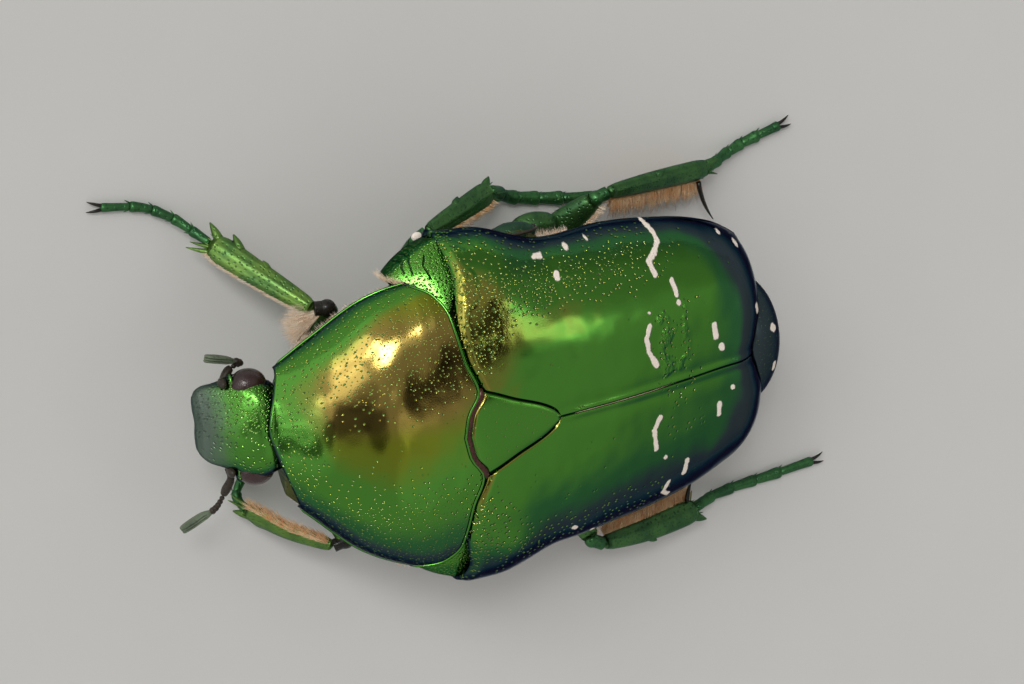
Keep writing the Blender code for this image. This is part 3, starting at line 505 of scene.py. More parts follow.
class Shade:
    """One output in a node tree. Sums and products on it add the nodes that they need."""

    def __init__(self, tree, socket=None):
        self.tree = tree
        self.socket = socket

    def node(self, kind, inputs, settings=None, output=0):
        """Add a node of any type: its settings first, then the values or links of its sockets."""
        node = self.tree.nodes.new(kind)
        for name, value in (settings or {}).items():
            setattr(node, name, value)
        for name, value in inputs.items():
            if isinstance(value, Shade):
                self.tree.links.new(value.socket, node.inputs[name])
            else:
                node.inputs[name].default_value = value
        if node.outputs:
            return Shade(self.tree, node.outputs[output])
        return None

    def maths(self, operation, *values):
        return self.node("ShaderNodeMath", dict(enumerate(values)), {"operation": operation})

    def __add__(self, other):
        return self.maths("ADD", self, other)

    __radd__ = __add__

    def __sub__(self, other):
        return self.maths("SUBTRACT", self, other)

    def __rsub__(self, other):
        return self.maths("SUBTRACT", other, self)

    def __mul__(self, other):
        return self.maths("MULTIPLY", self, other)

    __rmul__ = __mul__

    def __truediv__(self, other):
        return self.maths("DIVIDE", self, other)

    def __rtruediv__(self, other):
        return self.maths("DIVIDE", other, self)

    def least(self, other):
        return self.maths("MINIMUM", self, other)

    def most(self, other):
        return self.maths("MAXIMUM", self, other)

    def rise(self, low, high):
        """0 where this is at low, 1 at high, with a soft step between."""
        ends = {"Value": self, "From Min": low, "From Max": high}
        return self.node("ShaderNodeMapRange", ends, {"interpolation_type": "SMOOTHSTEP"})

    def along(self, operation, *others):
        """A Vector Math node on this vector; its number where the operation gives one."""
        gives_number = operation in ("DOT_PRODUCT", "LENGTH", "DISTANCE")
        inputs = {0: self, **dict(enumerate(others, 1))}
        return self.node("ShaderNodeVectorMath", inputs, {"operation": operation}, int(gives_number))

    def scaled(self, factor):
        return self.node("ShaderNodeVectorMath", {0: self, 3: factor}, {"operation": "SCALE"})

    def axis(self, name):
        return self.node("ShaderNodeSeparateXYZ", {0: self}, output="XYZ".index(name))

    def blend(self, first, second):
        """The first colour where this is 0, the second where it is 1."""
        ends = {0: self, 6: colour(first), 7: colour(second)}
        return self.node("ShaderNodeMix", ends, {"data_type": "RGBA"}, 2)

    def noise(self, size, detail=3.0, roughness=0.55):
        """Soft noise from 0 to 1 on this vector in millimetres, with blotches of this size."""
        inputs = {"Vector": self, "Scale": 1 / size, "Detail": detail, "Roughness": roughness}
        return self.node("ShaderNodeTexNoise", inputs)

    def pits(self, spacing, radius):
        """1 in the middle of each small pit and 0 between them, on a flat place in millimetres."""
        inputs = {"Vector": self, "Scale": 1 / spacing, "Randomness": 0.9}
        away = self.node("ShaderNodeTexVoronoi", inputs, {"voronoi_dimensions": "2D"})
        return 1 - away.rise(0.0, radius / spacing)

    def bump(self, depth, under=None):
        """A normal from this height, where 1 stands for a depth in millimetres."""
        inputs = {"Height": self, "Distance": depth * MM, "Strength": 1.0}
        if under:
            inputs["Normal"] = under
        return self.node("ShaderNodeBump", inputs)


def colour(value):
    return value if isinstance(value, Shade) else (*value, 1.0)


def blank_material(name):
    """A new material with an empty node tree, and a Shade to build in it."""
    material = bpy.data.materials.new(name)
    material.use_nodes = True
    material.node_tree.nodes.clear()
    return material, Shade(material.node_tree)


def finished(material, start, sockets):
    """Give a material a single surface with these sockets."""
    shader = start.node("ShaderNodeBsdfPrincipled", sockets)
    start.node("ShaderNodeOutputMaterial", {"Surface": shader})
    return material


def body_place(start):
    """The place on the surface, in millimetres in the beetle's own frame."""
    here = start.node("ShaderNodeTexCoord", {}, output=3)
    return here.along("SUBTRACT", SHIFT * MM).scaled(1 / MM)


def laid_flat(place):
    """The place as if the back were unrolled: out along the arc of the back, then along it."""
    x = place.axis("X")
    side = x.maths("SIGN", x)
    out = x + side * (BACK_TOP - place.axis("Z")) * UNROLLED
    return place.node("ShaderNodeCombineXYZ", {0: out, 1: place.axis("Y")})


def upward(start):
    """How far up the surface faces, from -1 to 1."""
    return start.node("ShaderNodeNewGeometry", {}, output=1).axis("Z")


def chalk(place, lines, wobble=0.07):
    """1 on the chalky marks, whose edges are ragged, and 0 off them."""
    ragged = place.node("ShaderNodeTexNoise", {"Vector": place, "Scale": 4.0, "Detail": 3.0}, output=1)
    flat = place.along("ADD", ragged.along("SUBTRACT", (0.5, 0.5, 0.5)).scaled(wobble * 2))
    flat = flat.along("MULTIPLY", (1.0, 1.0, 0.0))
    nearest = None
    for points, half_width in lines:
        for near, far in zip(points, points[1:]):
            run = Vector((far[0] - near[0], far[1] - near[1], 0.0))
            offset = flat.along("SUBTRACT", (*near, 0.0))
            share = (offset.along("DOT_PRODUCT", tuple(run)) / run.length_squared).most(0.0).least(1.0)
            spine = share.node("ShaderNodeVectorMath", {0: tuple(run), 3: share}, {"operation": "SCALE"})
            away = offset.along("SUBTRACT", spine).along("LENGTH") - half_width
            nearest = away if nearest is None else nearest.least(away)
    return 1 - nearest.rise(-0.02, 0.03)


GOLD = (0.30, 0.22, 0.055)
BRONZE = (0.26, 0.24, 0.045)
OLIVE = (0.22, 0.25, 0.02)
GREEN = (0.10, 0.325, 0.045)
TEAL = (0.042, 0.175, 0.058)
NAVY = (0.052, 0.074, 0.086)
CHALK = (0.98, 0.90, 0.81)
# The pale tone that the pits are paled towards is a painted glint.
PAINTED_PIT_GLINT = (0.62, 0.72, 0.22)
# The grey of the head's dull front is a painted reflection.
GLANCING_SHEEN_GREY = (0.155, 0.21, 0.17)
# The tones of a plate from face on to a glancing angle, each as its level and its steep parts show it.
BACK_TONES = ((OLIVE, OLIVE), (GREEN, GREEN), (TEAL, TEAL), (NAVY, NAVY))
WING_TONES = ((BRONZE, OLIVE), (GREEN, GREEN), (TEAL, TEAL), (NAVY, NAVY))
LEAF_TONES = ((GREEN, GREEN), (GREEN, GREEN), (TEAL, TEAL), (NAVY, NAVY))
RIM_TONES = ((GREEN, TEAL), (GREEN, TEAL), (TEAL, NAVY), (NAVY, NAVY))
SHOULDER_TONES = ((GREEN, GREEN), (GREEN, GREEN), (GREEN, TEAL), (TEAL, TEAL))
DARK_TONES = ((TEAL, NAVY), (NAVY, NAVY), (NAVY, NAVY), (NAVY, NAVY))
TONE_STEPS = ((0.035, 0.125), (0.23, 0.38), (0.38, 0.52))
EDGE_TINTS = ((0.12, 0.36, 0.055), (0.06, 0.24, 0.08), (0.10, 0.20, 0.14), (0.20, 0.23, 0.29))


def cuticle(name, marks=(), *, spacing, pit, depth, gloss, tones=BACK_TONES, density=None, wrinkled=None,
            dullness_and_sheen=None, turned=None, gold_reflection=None, scored=()):
    """Metallic cuticle, whose tone goes through the four tones from face on to a glancing angle.

    marks are chalky lines and scored are cut ones. density, wrinkled, dullness_and_sheen, turned and
    gold_reflection are functions of the place: how thick the pits lie, how rough it is, how dull and
    grey it is, the grey a painted reflection, how much sooner the glancing tones show, which paints shade
    and reflection, and where the first tone is gold, a painted reflection. The pits are paled in colour:
    a painted glint.
    """
    material, start = blank_material(name)
    place = body_place(start)
    flat = laid_flat(place)
    cloud = place.noise(2.2)
    pitted = flat.pits(spacing, pit)
    small = flat.pits(spacing * 0.55, pit * 0.6)
    if density:
        dense = density(place)
        pitted = pitted * (place.noise(0.7) + dense - 0.5).rise(0.12, 0.25)
        small = small * (place.noise(0.5) + dense - 0.5).rise(0.42, 0.55)
    fine = flat.noise(0.05, 2.0)
    height = fine * 0.05 + place.noise(1.3, 1.0) * 1.2 - pitted - small * 0.5
    if wrinkled:
        rough = flat.along("MULTIPLY", (5.0, 7.0, 1.0)).noise(1.0, 2.0)
        height = height + rough * wrinkled(place)
    marked = chalk(place, marks) if marks else None
    if marked:
        height = height * (1 - marked * 0.6) + marked * 0.8
    if scored:
        height = height - chalk(place, scored, 0.02) * 3
    normal = height.bump(depth)
    facing = start.node("ShaderNodeLayerWeight", {"Blend": 0.5, "Normal": normal}, output=1)
    # Shifting where the tones change by place paints shade and reflection onto the plate.
    if turned:
        facing = facing + turned(place)
    slope = 1 - upward(start) + cloud * 0.24 - 0.12
    # Pits are paled towards a brighter tone, as if light glinted in them: a painted glint.
    pit_glint_mask = pitted.most(small).rise(0.25, 0.6) * 0.35
    roughness = gloss + cloud * 0.05 + fine * 0.04
    if dullness_and_sheen:
        roughness = roughness + dullness_and_sheen(place) * 0.22
    shown = None
    for k, (level, steep) in enumerate(tones):
        # The face-on tone is made gold where the place says so: a painted reflection.
        if gold_reflection and k == 0:
            level = gold_reflection(place).blend(level, GOLD)
        tone = pit_glint_mask.blend(slope.rise(0.25, 0.75).blend(level, steep), PAINTED_PIT_GLINT)
        # The grey blended in where the place is dull is a painted reflection.
        if dullness_and_sheen:
            tone = dullness_and_sheen(place).blend(tone, GLANCING_SHEEN_GREY)
        metal = start.node("ShaderNodeBsdfPrincipled", {
            "Base Color": tone, "Metallic": 1.0, "Roughness": roughness, "Normal": normal,
            "Specular Tint": (*EDGE_TINTS[k], 1.0), "Coat Weight": 0.04, "Coat Roughness": 0.1,
        })
        if shown:
            turn = facing.rise(*TONE_STEPS[k - 1])
            metal = start.node("ShaderNodeMixShader", {0: turn, 1: shown, 2: metal})
        shown = metal
    if marked:
        powder = place.noise(0.15).blend(CHALK, (0.88, 0.76, 0.66))
        white = start.node("ShaderNodeBsdfPrincipled", {
            "Base Color": powder, "Roughness": 0.85, "Normal": normal, "Specular IOR Level": 0.2,
        })
        shown = start.node("ShaderNodeMixShader", {0: marked, 1: shown, 2: white})
    start.node("ShaderNodeOutputMaterial", {"Surface": shown})
    return material


def limb_cuticle(name, tone, dark, metallic=0.85, gloss=0.3):
    """Cuticle of the legs and underside: dark, pitted, with streaks of the brighter tone, and darkened in
    its pits: painted shade.
    """
    material, start = blank_material(name)
    place = body_place(start)
    cloud = place.noise(0.9)
    pitted = place.pits(0.17, 0.05)
    height = place.noise(0.05, 2.0) * 0.2 - pitted
    normal = height.bump(0.02)
    # The pits are darkened in colour: painted shade.
    base = (cloud.rise(0.1, 0.8) * (1 - pitted * 0.7)).blend(dark, tone)
    return finished(material, start, {
        "Base Color": base, "Metallic": metallic, "Roughness": gloss + cloud * 0.15, "Normal": normal,
        "Coat Weight": 0.15, "Coat Roughness": 0.15, "Specular Tint": (0.35, 0.45, 0.5, 1.0),
    })


def eye_finish():
    """A dark, glossy compound eye, with facets too small to count, whose colour varies at random and is
    painted lighter where it faces up: painted light.
    """
    material, start = blank_material("compound eye")
    place = body_place(start)
    facets = place.pits(0.055, 0.03)
    # Lighter where the eye faces up, with a random tone: painted light.
    tone_and_top_light = place.noise(0.5) * 0.6 + upward(start) * 0.4
    return finished(material, start, {
        "Base Color": tone_and_top_light.blend((0.008, 0.004, 0.006), (0.05, 0.022, 0.020)), "Roughness": 0.18,
        "Normal": facets.bump(0.004), "Coat Weight": 0.12, "Coat Roughness": 0.08,
        "Specular IOR Level": 0.5,
    })


def hair_finish(name, tone, other):
    """Stiff hair or chalky powder, whose colour drifts between two tones from tuft to tuft."""
    material, start = blank_material(name)
    drift = body_place(start).noise(0.35).rise(0.3, 0.7)
    return finished(material, start, {
        "Base Color": drift.blend(tone, other), "Roughness": 0.5, "Specular IOR Level": 0.4,
        "Sheen Weight": 0.2,
    })


def floor_finish():
    material, start = blank_material("pale floor")
    here = start.node("ShaderNodeTexCoord", {}, output=3)
    tone = here.scaled(120.0).noise(1.0).blend((0.63, 0.625, 0.615), (0.67, 0.665, 0.655))
    return finished(material, start, {"Base Color": tone, "Roughness": 0.8})


def skin(name, surfaces, material, nodes, thickness=0.0):
    """Make one piece from surfaces, each a row of rings in millimetres and whether they close."""
    mesh = bmesh.new()
    for rings, closed in surfaces:
        rows = [[mesh.verts.new((Vector(point) + SHIFT) * MM) for point in ring] for ring in rings]
        count = len(rows[0])
        made = []
        for near, far in zip(rows, rows[1:]):
            for i in range(count if closed else count - 1):
                j = (i + 1) % count
                made.append(mesh.faces.new((near[i], near[j], far[j], far[i])))
        if closed:
            for row in (rows[0], rows[-1]):
                middle = mesh.verts.new(sum((vert.co for vert in row), Vector()) / count)
                for i in range(count):
                    made.append(mesh.faces.new((row[i], row[(i + 1) % count], middle)))
        bmesh.ops.recalc_face_normals(mesh, faces=made)
        if not closed:
            mesh.normal_update()
            if sum(face.normal.z * face.calc_area() for face in made) < 0:
                bmesh.ops.reverse_faces(mesh, faces=made)
    bmesh.ops.remove_doubles(mesh, verts=mesh.verts, dist=MERGE_DISTANCE * MM)
    data = bpy.data.meshes.new(name)
    mesh.to_mesh(data)
    mesh.free()
    data.shade_smooth()
    obj = bpy.data.objects.new(name, data)
    bpy.context.scene.collection.objects.link(obj)
    if thickness:
        solid = obj.modifiers.new("thickness", "SOLIDIFY")
        solid.thickness = thickness * MM
        solid.offset = -1.0
    return wear(obj, material, nodes)


def wear(obj, material, nodes):
    """Give a piece its finish and its place on the model."""
    obj.data.materials.clear()
    obj.data.materials.append(material)
    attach(obj, "root")
    if nodes:
        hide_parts(*nodes)
    return obj


def line_through(points):
    """A smooth line through a few points, as a function of the share of the way along it."""
    points = [Vector(point) for point in points]
    marks = [0.0]
    for near, far in zip(points, points[1:]):
        marks.append(marks[-1] + (far - near).length)
    axes = [smooth([(mark, point[axis]) for mark, point in zip(marks, points)]) for axis in range(3)]

    def place(share):
        return Vector(axis(share * marks[-1]) for axis in axes)

    return place


def frame_at(place, share, wide):
    """The direction along a line, and two across it, the first as near to wide as can be."""
    along = (place(min(share + 0.02, 1.0)) - place(max(share - 0.02, 0.0))).normalized()
    wide = Vector(wide)
    wide = (wide - along * wide.dot(along)).normalized()
    return along, wide, along.cross(wide)


def tube(place, half_width, half_thick, wide=UP, sides=16, steps=24, span=(0.0, 1.0), groove=0.0):
    """A limb or bead along a line, with rounded ends and, with a groove, two channels along it."""
    rings = []
    shares = [0.0, 0.012, 0.035] + [k / steps for k in range(1, steps)] + [0.965, 0.988, 1.0]
    for part in shares:
        share = between(*span, part)
        along, out, thick = frame_at(place, share, wide)
        end = min(part, 1 - part) / ROUNDED_END
        rounding = math.sqrt(1 - (1 - min(end, 1.0)) ** 2) * 0.75 + 0.25
        ring = []
        for angle in turns(sides):
            depth = 1 - groove * sum(bell(angle - at, GROOVE_SPREAD) for at in GROOVE_ANGLES)
            reach = rounding * depth
            point = place(share) + out * (half_width(share) * reach * math.cos(angle))
            point += thick * (half_thick(share) * reach * math.sin(angle))
            point.z = max(point.z, 0.0)
            ring.append(point)
        rings.append(ring)
    return rings, True


def even(value):
    """The same girth all along a limb."""
    return lambda share: value


def bead(points, radius, sides=8):
    """A raised rim along a row of points."""
    rings = []
    count = len(points)
    for k, point in enumerate(points):
        along = (Vector(points[min(k + 1, count - 1)]) - Vector(points[max(k - 1, 0)])).normalized()
        side = along.cross(Vector(UP)).normalized()
        up = side.cross(along)
        girth = radius * min(1.0, 0.35 + min(k, count - 1 - k) * 0.3)
        ring = []
        for angle in turns(sides):
            ring.append(Vector(point) + side * (girth * math.cos(angle)) + up * (girth * math.sin(angle)))
        rings.append(ring)
    return rings, True


def ball(centre, radii, sides=32, rings=20):
    """An ellipsoid as a row of rings."""
    rows = []
    for j in range(1, rings):
        angle = math.pi * j / rings
        row = []
        for turn in turns(sides):
            direction = (math.sin(angle) * math.cos(turn), math.sin(angle) * math.sin(turn), math.cos(angle))
            row.append(Vector(c + r * d for c, r, d in zip(centre, radii, direction)))
        rows.append(row)
    return rows, True


def elytron_inner_edge(y):
    """Half of the seam between the wing cases, or the scutellum's side."""
    if y > SCUTELLUM_HALF[-1][0]:
        return SEAM
    return max(scutellum_half(y) + SCUTELLUM_SIDE_GAP, SEAM)


def elytron_rows(side, columns=44, rows_count=110):
    """The wing case's outer face with its humps, from its front edge to its rear one."""
    shares = [0.0, 0.006, 0.014, 0.024, 0.036, 0.05]
    shares += [across(i / columns, BACK_CURVE) for i in range(1, columns + 1)]
    shares = sorted(share for share in shares if share <= 1.0)
    rim_columns = ((-0.03, 0.08), (-0.03, 0.2), (0.0, 0.4), (0.05, 0.6), (0.12, 0.8), (0.25, 1.0))
    rows = []
    for j in range(rows_count + 1):
        row = []
        for share in shares:
            front = elytron_front(between(ELYTRON_FRONT[0][0], ELYTRON_FRONT[-1][0], share)) - LIP_REACH
            rear = elytron_rear(between(ELYTRON_REAR[0][0], ELYTRON_REAR[-1][0], share))
            y = between(front, rear, j / rows_count)
            width = back_width(y)
            x = between(elytron_inner_edge(y), width, share)
            height = dome(x, width, 0.0, 1.0, BACK_CURVE)
            fall = clamp((REAR_ROUNDING - (rear - y)) / REAR_ROUNDING)
            height *= 1 - REAR_DROP * (1 - math.sqrt(1 - fall ** 2))
            z = back_edge(y) + (ridge(y) - back_edge(y)) * height
            z += sum(hump(x, y, *shape) for shape in ELYTRON_HUMPS)
            furrow = clamp((y - FURROW_START) / FURROW_RUN) * FURROW_DEPTH
            z -= furrow * bell(x - FURROW_PLACE, FURROW_SPREAD)
            z -= LIP_DROP * bell(y - front, LIP_SPREAD)
            row.append((side * x, y, z))
        for inward, drop in rim_columns:
            row.append((side * (x - inward), y, z - rim_depth(y) * drop))
        rows.append(row)
    return rows


def pronotum_rows(columns=40, rows_count=70):
    """The pronotum's outer face, from its front edge to its base, turned with the forebody."""
    rows = []
    for j in range(rows_count + 1):
        row = []
        for i in range(-columns, columns + 1):
            share = across(abs(i) / columns, PRONOTUM_CURVE)
            half = (1 + math.copysign(share, i)) / 2
            front = pronotum_front(between(PRONOTUM_FRONT[0][0], PRONOTUM_FRONT[-1][0], half))
            corner = CORNER_DEPTH * clamp((share - CORNER_START) / CORNER_RUN) ** 2
            base = pronotum_base(PRONOTUM_BASE[-1][0] * share) - corner
            y = between(front, base, j / rows_count)
            width = pronotum_width(y)
            x = math.copysign(width * share, i)
            row.append(turn_forebody((x, y, dome(x, width, pronotum_edge(y), ridge(y), PRONOTUM_CURVE))))
        rows.append(row)
    return rows


def scutellum_rows(count=24):
    """The scutellum's outer face, a little sunk and flat across its middle."""
    rows = []
    for j in range(count + 1):
        row = []
        for i in range(-count // 2, count // 2 + 1):
            share = i / (count // 2)
            front = pronotum_base(abs(share) * SCUTELLUM_HALF[0][1]) + SCUTELLUM_GAP
            y = between(front, SCUTELLUM_HALF[-1][0], j / count)
            x = scutellum_half(y) * share
            z = dome(x, back_width(y), back_edge(y), ridge(y), BACK_CURVE)
            row.append((x, y, z - SCUTELLUM_SUNK + SCUTELLUM_SWELL * (1 - share ** 4)))
        rows.append(row)
    return rows


def trunk_ring(inset, lid, top, side, rim, bottom, lower_curve, y, sides=28):
    """A trunk section: a back that fits under the plates, a ledge below their rims, a belly."""
    ring = []
    for i in range(sides + 1):
        angle = math.pi * i / sides
        x = squarer(math.cos(angle), BACK_CURVE) * inset
        ring.append((x, y, lid + (top - lid) * math.sin(angle)))
    for i in range(sides + 1):
        angle = math.pi * i / sides
        x = -squarer(math.cos(angle), lower_curve) * side
        depth = abs(squarer(math.sin(angle), lower_curve))
        groove, spread = BREAST_GROOVE
        ring.append((x, y, rim - (rim - bottom) * depth + groove * bell(x, spread)))
    return ring


def prothorax_rings(count=40):
    rings = []
    for j in range(count + 1):
        y = between(*PROTHORAX_SPAN, j / count)
        width = pronotum_width(y)
        rim = pronotum_edge(y) - PROTHORAX_GAP
        ring = trunk_ring(width - PROTHORAX_LEDGE, rim + PROTHORAX_LID_STEP, ridge(y) - PROTHORAX_LID,
                          width - PROTHORAX_GAP, rim, belly(y), PROTHORAX_BELLY_CURVE, y)
        rings.append([turn_forebody(point) for point in ring])
    return rings, True


def hind_trunk_rings(span, marks=(), count=48):
    """The thorax or abdomen; at each mark the belly steps up as one plate laps the next."""
    places = [between(*span, j / count) for j in range(count + 1)]
    places += [mark + shift for mark in marks for shift in (-0.03, -0.01, 0.01, 0.04)]
    rings = []
    for y in sorted(places):
        past = min((y - mark for mark in marks if y >= mark), default=SEGMENT_LENGTH)
        recess = SEGMENT_STEP * max(1 - past / SEGMENT_LENGTH, 0.0) if marks else 0.0
        rim = back_edge(y) - rim_depth(y) - TRUNK_GAP
        top = ridge(y) - TRUNK_LID - max(y - ABDOMEN_SPAN[1] + TAIL_FALL, 0.0) ** 2 * 0.5
        rings.append(trunk_ring(trunk_inset(y), rim + TRUNK_LID_STEP, top, trunk_side(y) - recess, rim,
                                belly(y) + recess, TRUNK_BELLY_CURVE, y))
    return rings, True


def head_rings(sides=56, count=60):
    """The head with the raised rim of its clypeus, a broad brow with dents in front of it and a notch in
    its front edge; the ledge in front of each eye is made apart.
    """
    rings = []
    first = HEAD[0][0]
    for j in range(count + 1):
        y = first + (HEAD[-1][0] - first) * (j / count) ** 1.3
        ring = []
        for angle in turns(sides):
            x = squarer(math.cos(angle), HEAD_CURVE)
            z = squarer(math.sin(angle), HEAD_CURVE)
            height = z * (head_above(y) if z > 0 else head_below(y))
            if z > 0:
                place, spread, rise = CLYPEUS_FRONT
                front = bell(y - place, spread) * rise
                place, spread, rise = CLYPEUS_FLANK
                end, run = CLYPEUS_END
                flank = bell(abs(x) - place, spread) * rise * clamp((end - y) / run)
                height += front + flank + hump(x, y, *BROW) + hump(abs(x), y, *BROW_DENTS)
            depth, half_width, reach = HEAD_NOTCH
            notch = depth * bell(x, half_width) * bell(y - first, reach)
            point = (HEAD_SHIFT + x * head_width(y), y + notch, head_middle(y) + height)
            ring.append(carry_head(point))
        rings.append(ring)
    return rings, True


def hook(root, direction, bend, length, girth, sides=10, steps=8):
    """A tapering claw, tooth or spur that curves towards bend."""
    direction = Vector(direction).normalized()
    bend = Vector(bend)
    root = Vector(root)
    line = []
    for k in range(steps + 1):
        share = k / steps
        line.append(root + direction * (length * share) + bend * (length * share * share))
    place = line_through(line)
    taper = smooth(((0.0, girth), (0.5, girth * 0.75), (1.0, girth * 0.16)))
    rings = []
    for k in range(steps + 1):
        share = k / steps
        along, wide, thick = frame_at(place, share, direction.orthogonal())
        ring = []
        for angle in turns(sides):
            point = place(share) + (wide * math.cos(angle) + thick * math.sin(angle)) * taper(share)
            point.z = max(point.z, 0.0)
            ring.append(point)
        rings.append(ring)
    return rings, True


def limb_girths(girths):
    """Half-width and half-thickness along a limb, each as a smooth function."""
    wide = smooth([(share, half_width) for share, half_width, half_thick in girths])
    thick = smooth([(share, half_thick) for share, half_width, half_thick in girths])
    return wide, thick


def femur_face(leg):
    """The way a femur is widest: level, across its run."""
    run = Vector(leg["femur"][-1]) - Vector(leg["femur"][0])
    return run.cross(Vector(UP))


def femur_surfaces(leg):
    """A femur, and the short neck that joins it to its tibia."""
    wide, thick = limb_girths(FEMUR_GIRTH)
    place = line_through(leg["femur"])
    knee = Vector(leg["femur"][-1])
    shin = Vector(leg["tibia"][0])
    joint = line_through((knee, (knee + shin) / 2, shin))
    thigh = tube(place, wide, thick, femur_face(leg), 28, 30)
    return [thigh], [tube(joint, *map(even, KNEE_NECK), leg["outward"])]


def tibia_surfaces(pair, leg):
    """A channelled tibia with its teeth, its end spur and a ring of fine spines round its tip."""
    wide, thick = limb_girths(TIBIA_GIRTH[pair])
    place = line_through(leg["tibia"])
    surfaces = [tube(place, wide, thick, leg["outward"], 36, 34, groove=0.10)]
    for share, side, reach, lean in TIBIA_TEETH[pair]:
        along, out, aside = frame_at(place, min(share, TIBIA_END), leg["outward"])
        out = out * side
        root = place(share) + out * (wide(share) - 0.15) - along * 0.1
        surfaces.append(hook(root, out + along * lean, along * 0.15, reach * 0.75 + 0.2, TOOTH_GIRTHS[side]))
    along, out, aside = frame_at(place, TIBIA_END, leg["outward"])
    root = place(0.98) - out * 0.12
    surfaces.append(hook(root, along - out * 0.35 + aside * 0.2, along * 0.1, *END_SPUR))
    tip = place(0.985)
    for angle in turns(END_SPINES):
        root = tip + out * (END_OVAL[0] * math.cos(angle)) + aside * (END_OVAL[1] * math.sin(angle))
        surfaces.append(hook(root, along + (root - tip) * 0.6, along * 0.05, *END_SPINE, 5, 3))
    return surfaces


def tarsus_surfaces(leg, stout=1.0):
    """A foot of five joints, each wider at its end, with spines below, and its two curved claws."""
    start = Vector(leg["tibia"][-1])
    place = line_through((start, *leg["tarsus"]))
    surfaces = []
    claws = []
    knuckle = smooth(JOINT_GIRTH)
    last = smooth(LAST_JOINT_GIRTH)

    def lowered(share):
        point = place(share)
        sink = max(FOOT_FLOOR + FOOT_NEAR - point.z, 0.0)
        point.z -= min(sink, FOOT_SINK)
        return point

    for k in range(FOOT_JOINTS):
        start, end = FOOT_STARTS[k], min(FOOT_STARTS[k + 1] + FOOT_LAP, 1.0)
        shape = last if k == FOOT_JOINTS - 1 else knuckle

        def girth(share, start=start, end=end, shape=shape):
            return shape(clamp((share - start) / (end - start))) * stout

        surfaces.append(tube(lowered, girth, girth, UP, 16, 12, (start, end)))
        along, up, aside = frame_at(lowered, end, UP)
        if k < FOOT_JOINTS - 1:
            for side in (-1, 1):
                root = lowered(end - 0.01) + aside * side * 0.12 - up * 0.08
                toward = along + aside * side * 0.5 - up * 0.15
                surfaces.append(hook(root, toward, up * 0.05, *FOOT_SPINE, 6, 4))
    tip = lowered(1.0)
    along, up, aside = frame_at(lowered, 1.0, UP)
    for side in (-1, 1):
        root = tip + aside * side * 0.07 - along * 0.08
        direction = along + aside * side * 0.22 + up * 0.30
        claws.append(hook(root, direction, -up * 0.40, *CLAW, 12, 10))
    return surfaces, claws


def antenna_surfaces(side_name):
    """A bristly scape, five small stalk joints, and a club of three leaves."""
    place = line_through(ANTENNAE[side_name])
    scape = smooth(SCAPE_GIRTH)
    stalk = [tube(place, scape, scape, UP, 16, 18, (0.0, SCAPE_GIRTH[-1][0]))]
    for k in range(STALK_JOINTS):
        share = STALK_PLACES[0] + STALK_PLACES[1] * k
        size = STALK_SIZES[0] + STALK_SIZES[1] * k
        stalk.append(ball(place(share), (size, size, size), 14, 8))
    club = []
    girth = smooth(LEAF_GIRTH)
    start, end = LEAF_GIRTH[0][0], LEAF_GIRTH[-1][0]
    along, wide, thick = frame_at(place, 0.8, UP)
    for k in (-1, 0, 1):
        shift = thick * (LEAF_SHIFT * k)

        def leaf(share, shift=shift):
            apart = min((share - start) / LEAF_STRETCH, 1.0)
            return place(share) + shift * math.sin(apart * math.pi / 2)

        club.append(tube(leaf, girth, even(LEAF_THICKNESS), UP, 20, 14, (start, end)))
    return stalk, club


def palp_surfaces(side):
    """A mouth feeler of three joints."""
    place = line_through([on_head(side, point) for point in PALP])
    surfaces = []
    for start, end, girth in PALP_JOINTS:
        shape = smooth(((start, girth * 0.7), (between(start, end, 0.7), girth), (end, girth * 0.6)))
        surfaces.append(tube(place, shape, shape, UP, 12, 8, (start, end)))
    return surfaces


def mesepimeron_rows(side, count=26):
    """The shoulder plate: it fills the corner between the pronotum and the wing case."""
    fore = line_through(SHOULDER_FORE)
    hind = line_through(SHOULDER_HIND)
    least, more = SHOULDER_SWELL
    rows = []
    for j in range(count + 1):
        share = j / count
        near = fore(share)
        far = hind(share)
        row = []
        for i in range(count + 1):
            part = i / count
            point = near + (far - near) * part
            swell = 4 * part * (1 - part) * (least + more * share ** 2)
            point += Vector(SHOULDER_OUT) * swell
            row.append((side * point.x, point.y, point.z))
        rows.append(row)
    return rows


def island_spot(island, along, around):
    """A place on the unwrap, in one of its eight by eight islands."""
    return (island % 8 + 0.05 + 0.9 * along) / 8, (island // 8 + 0.05 + 0.9 * around) / 8


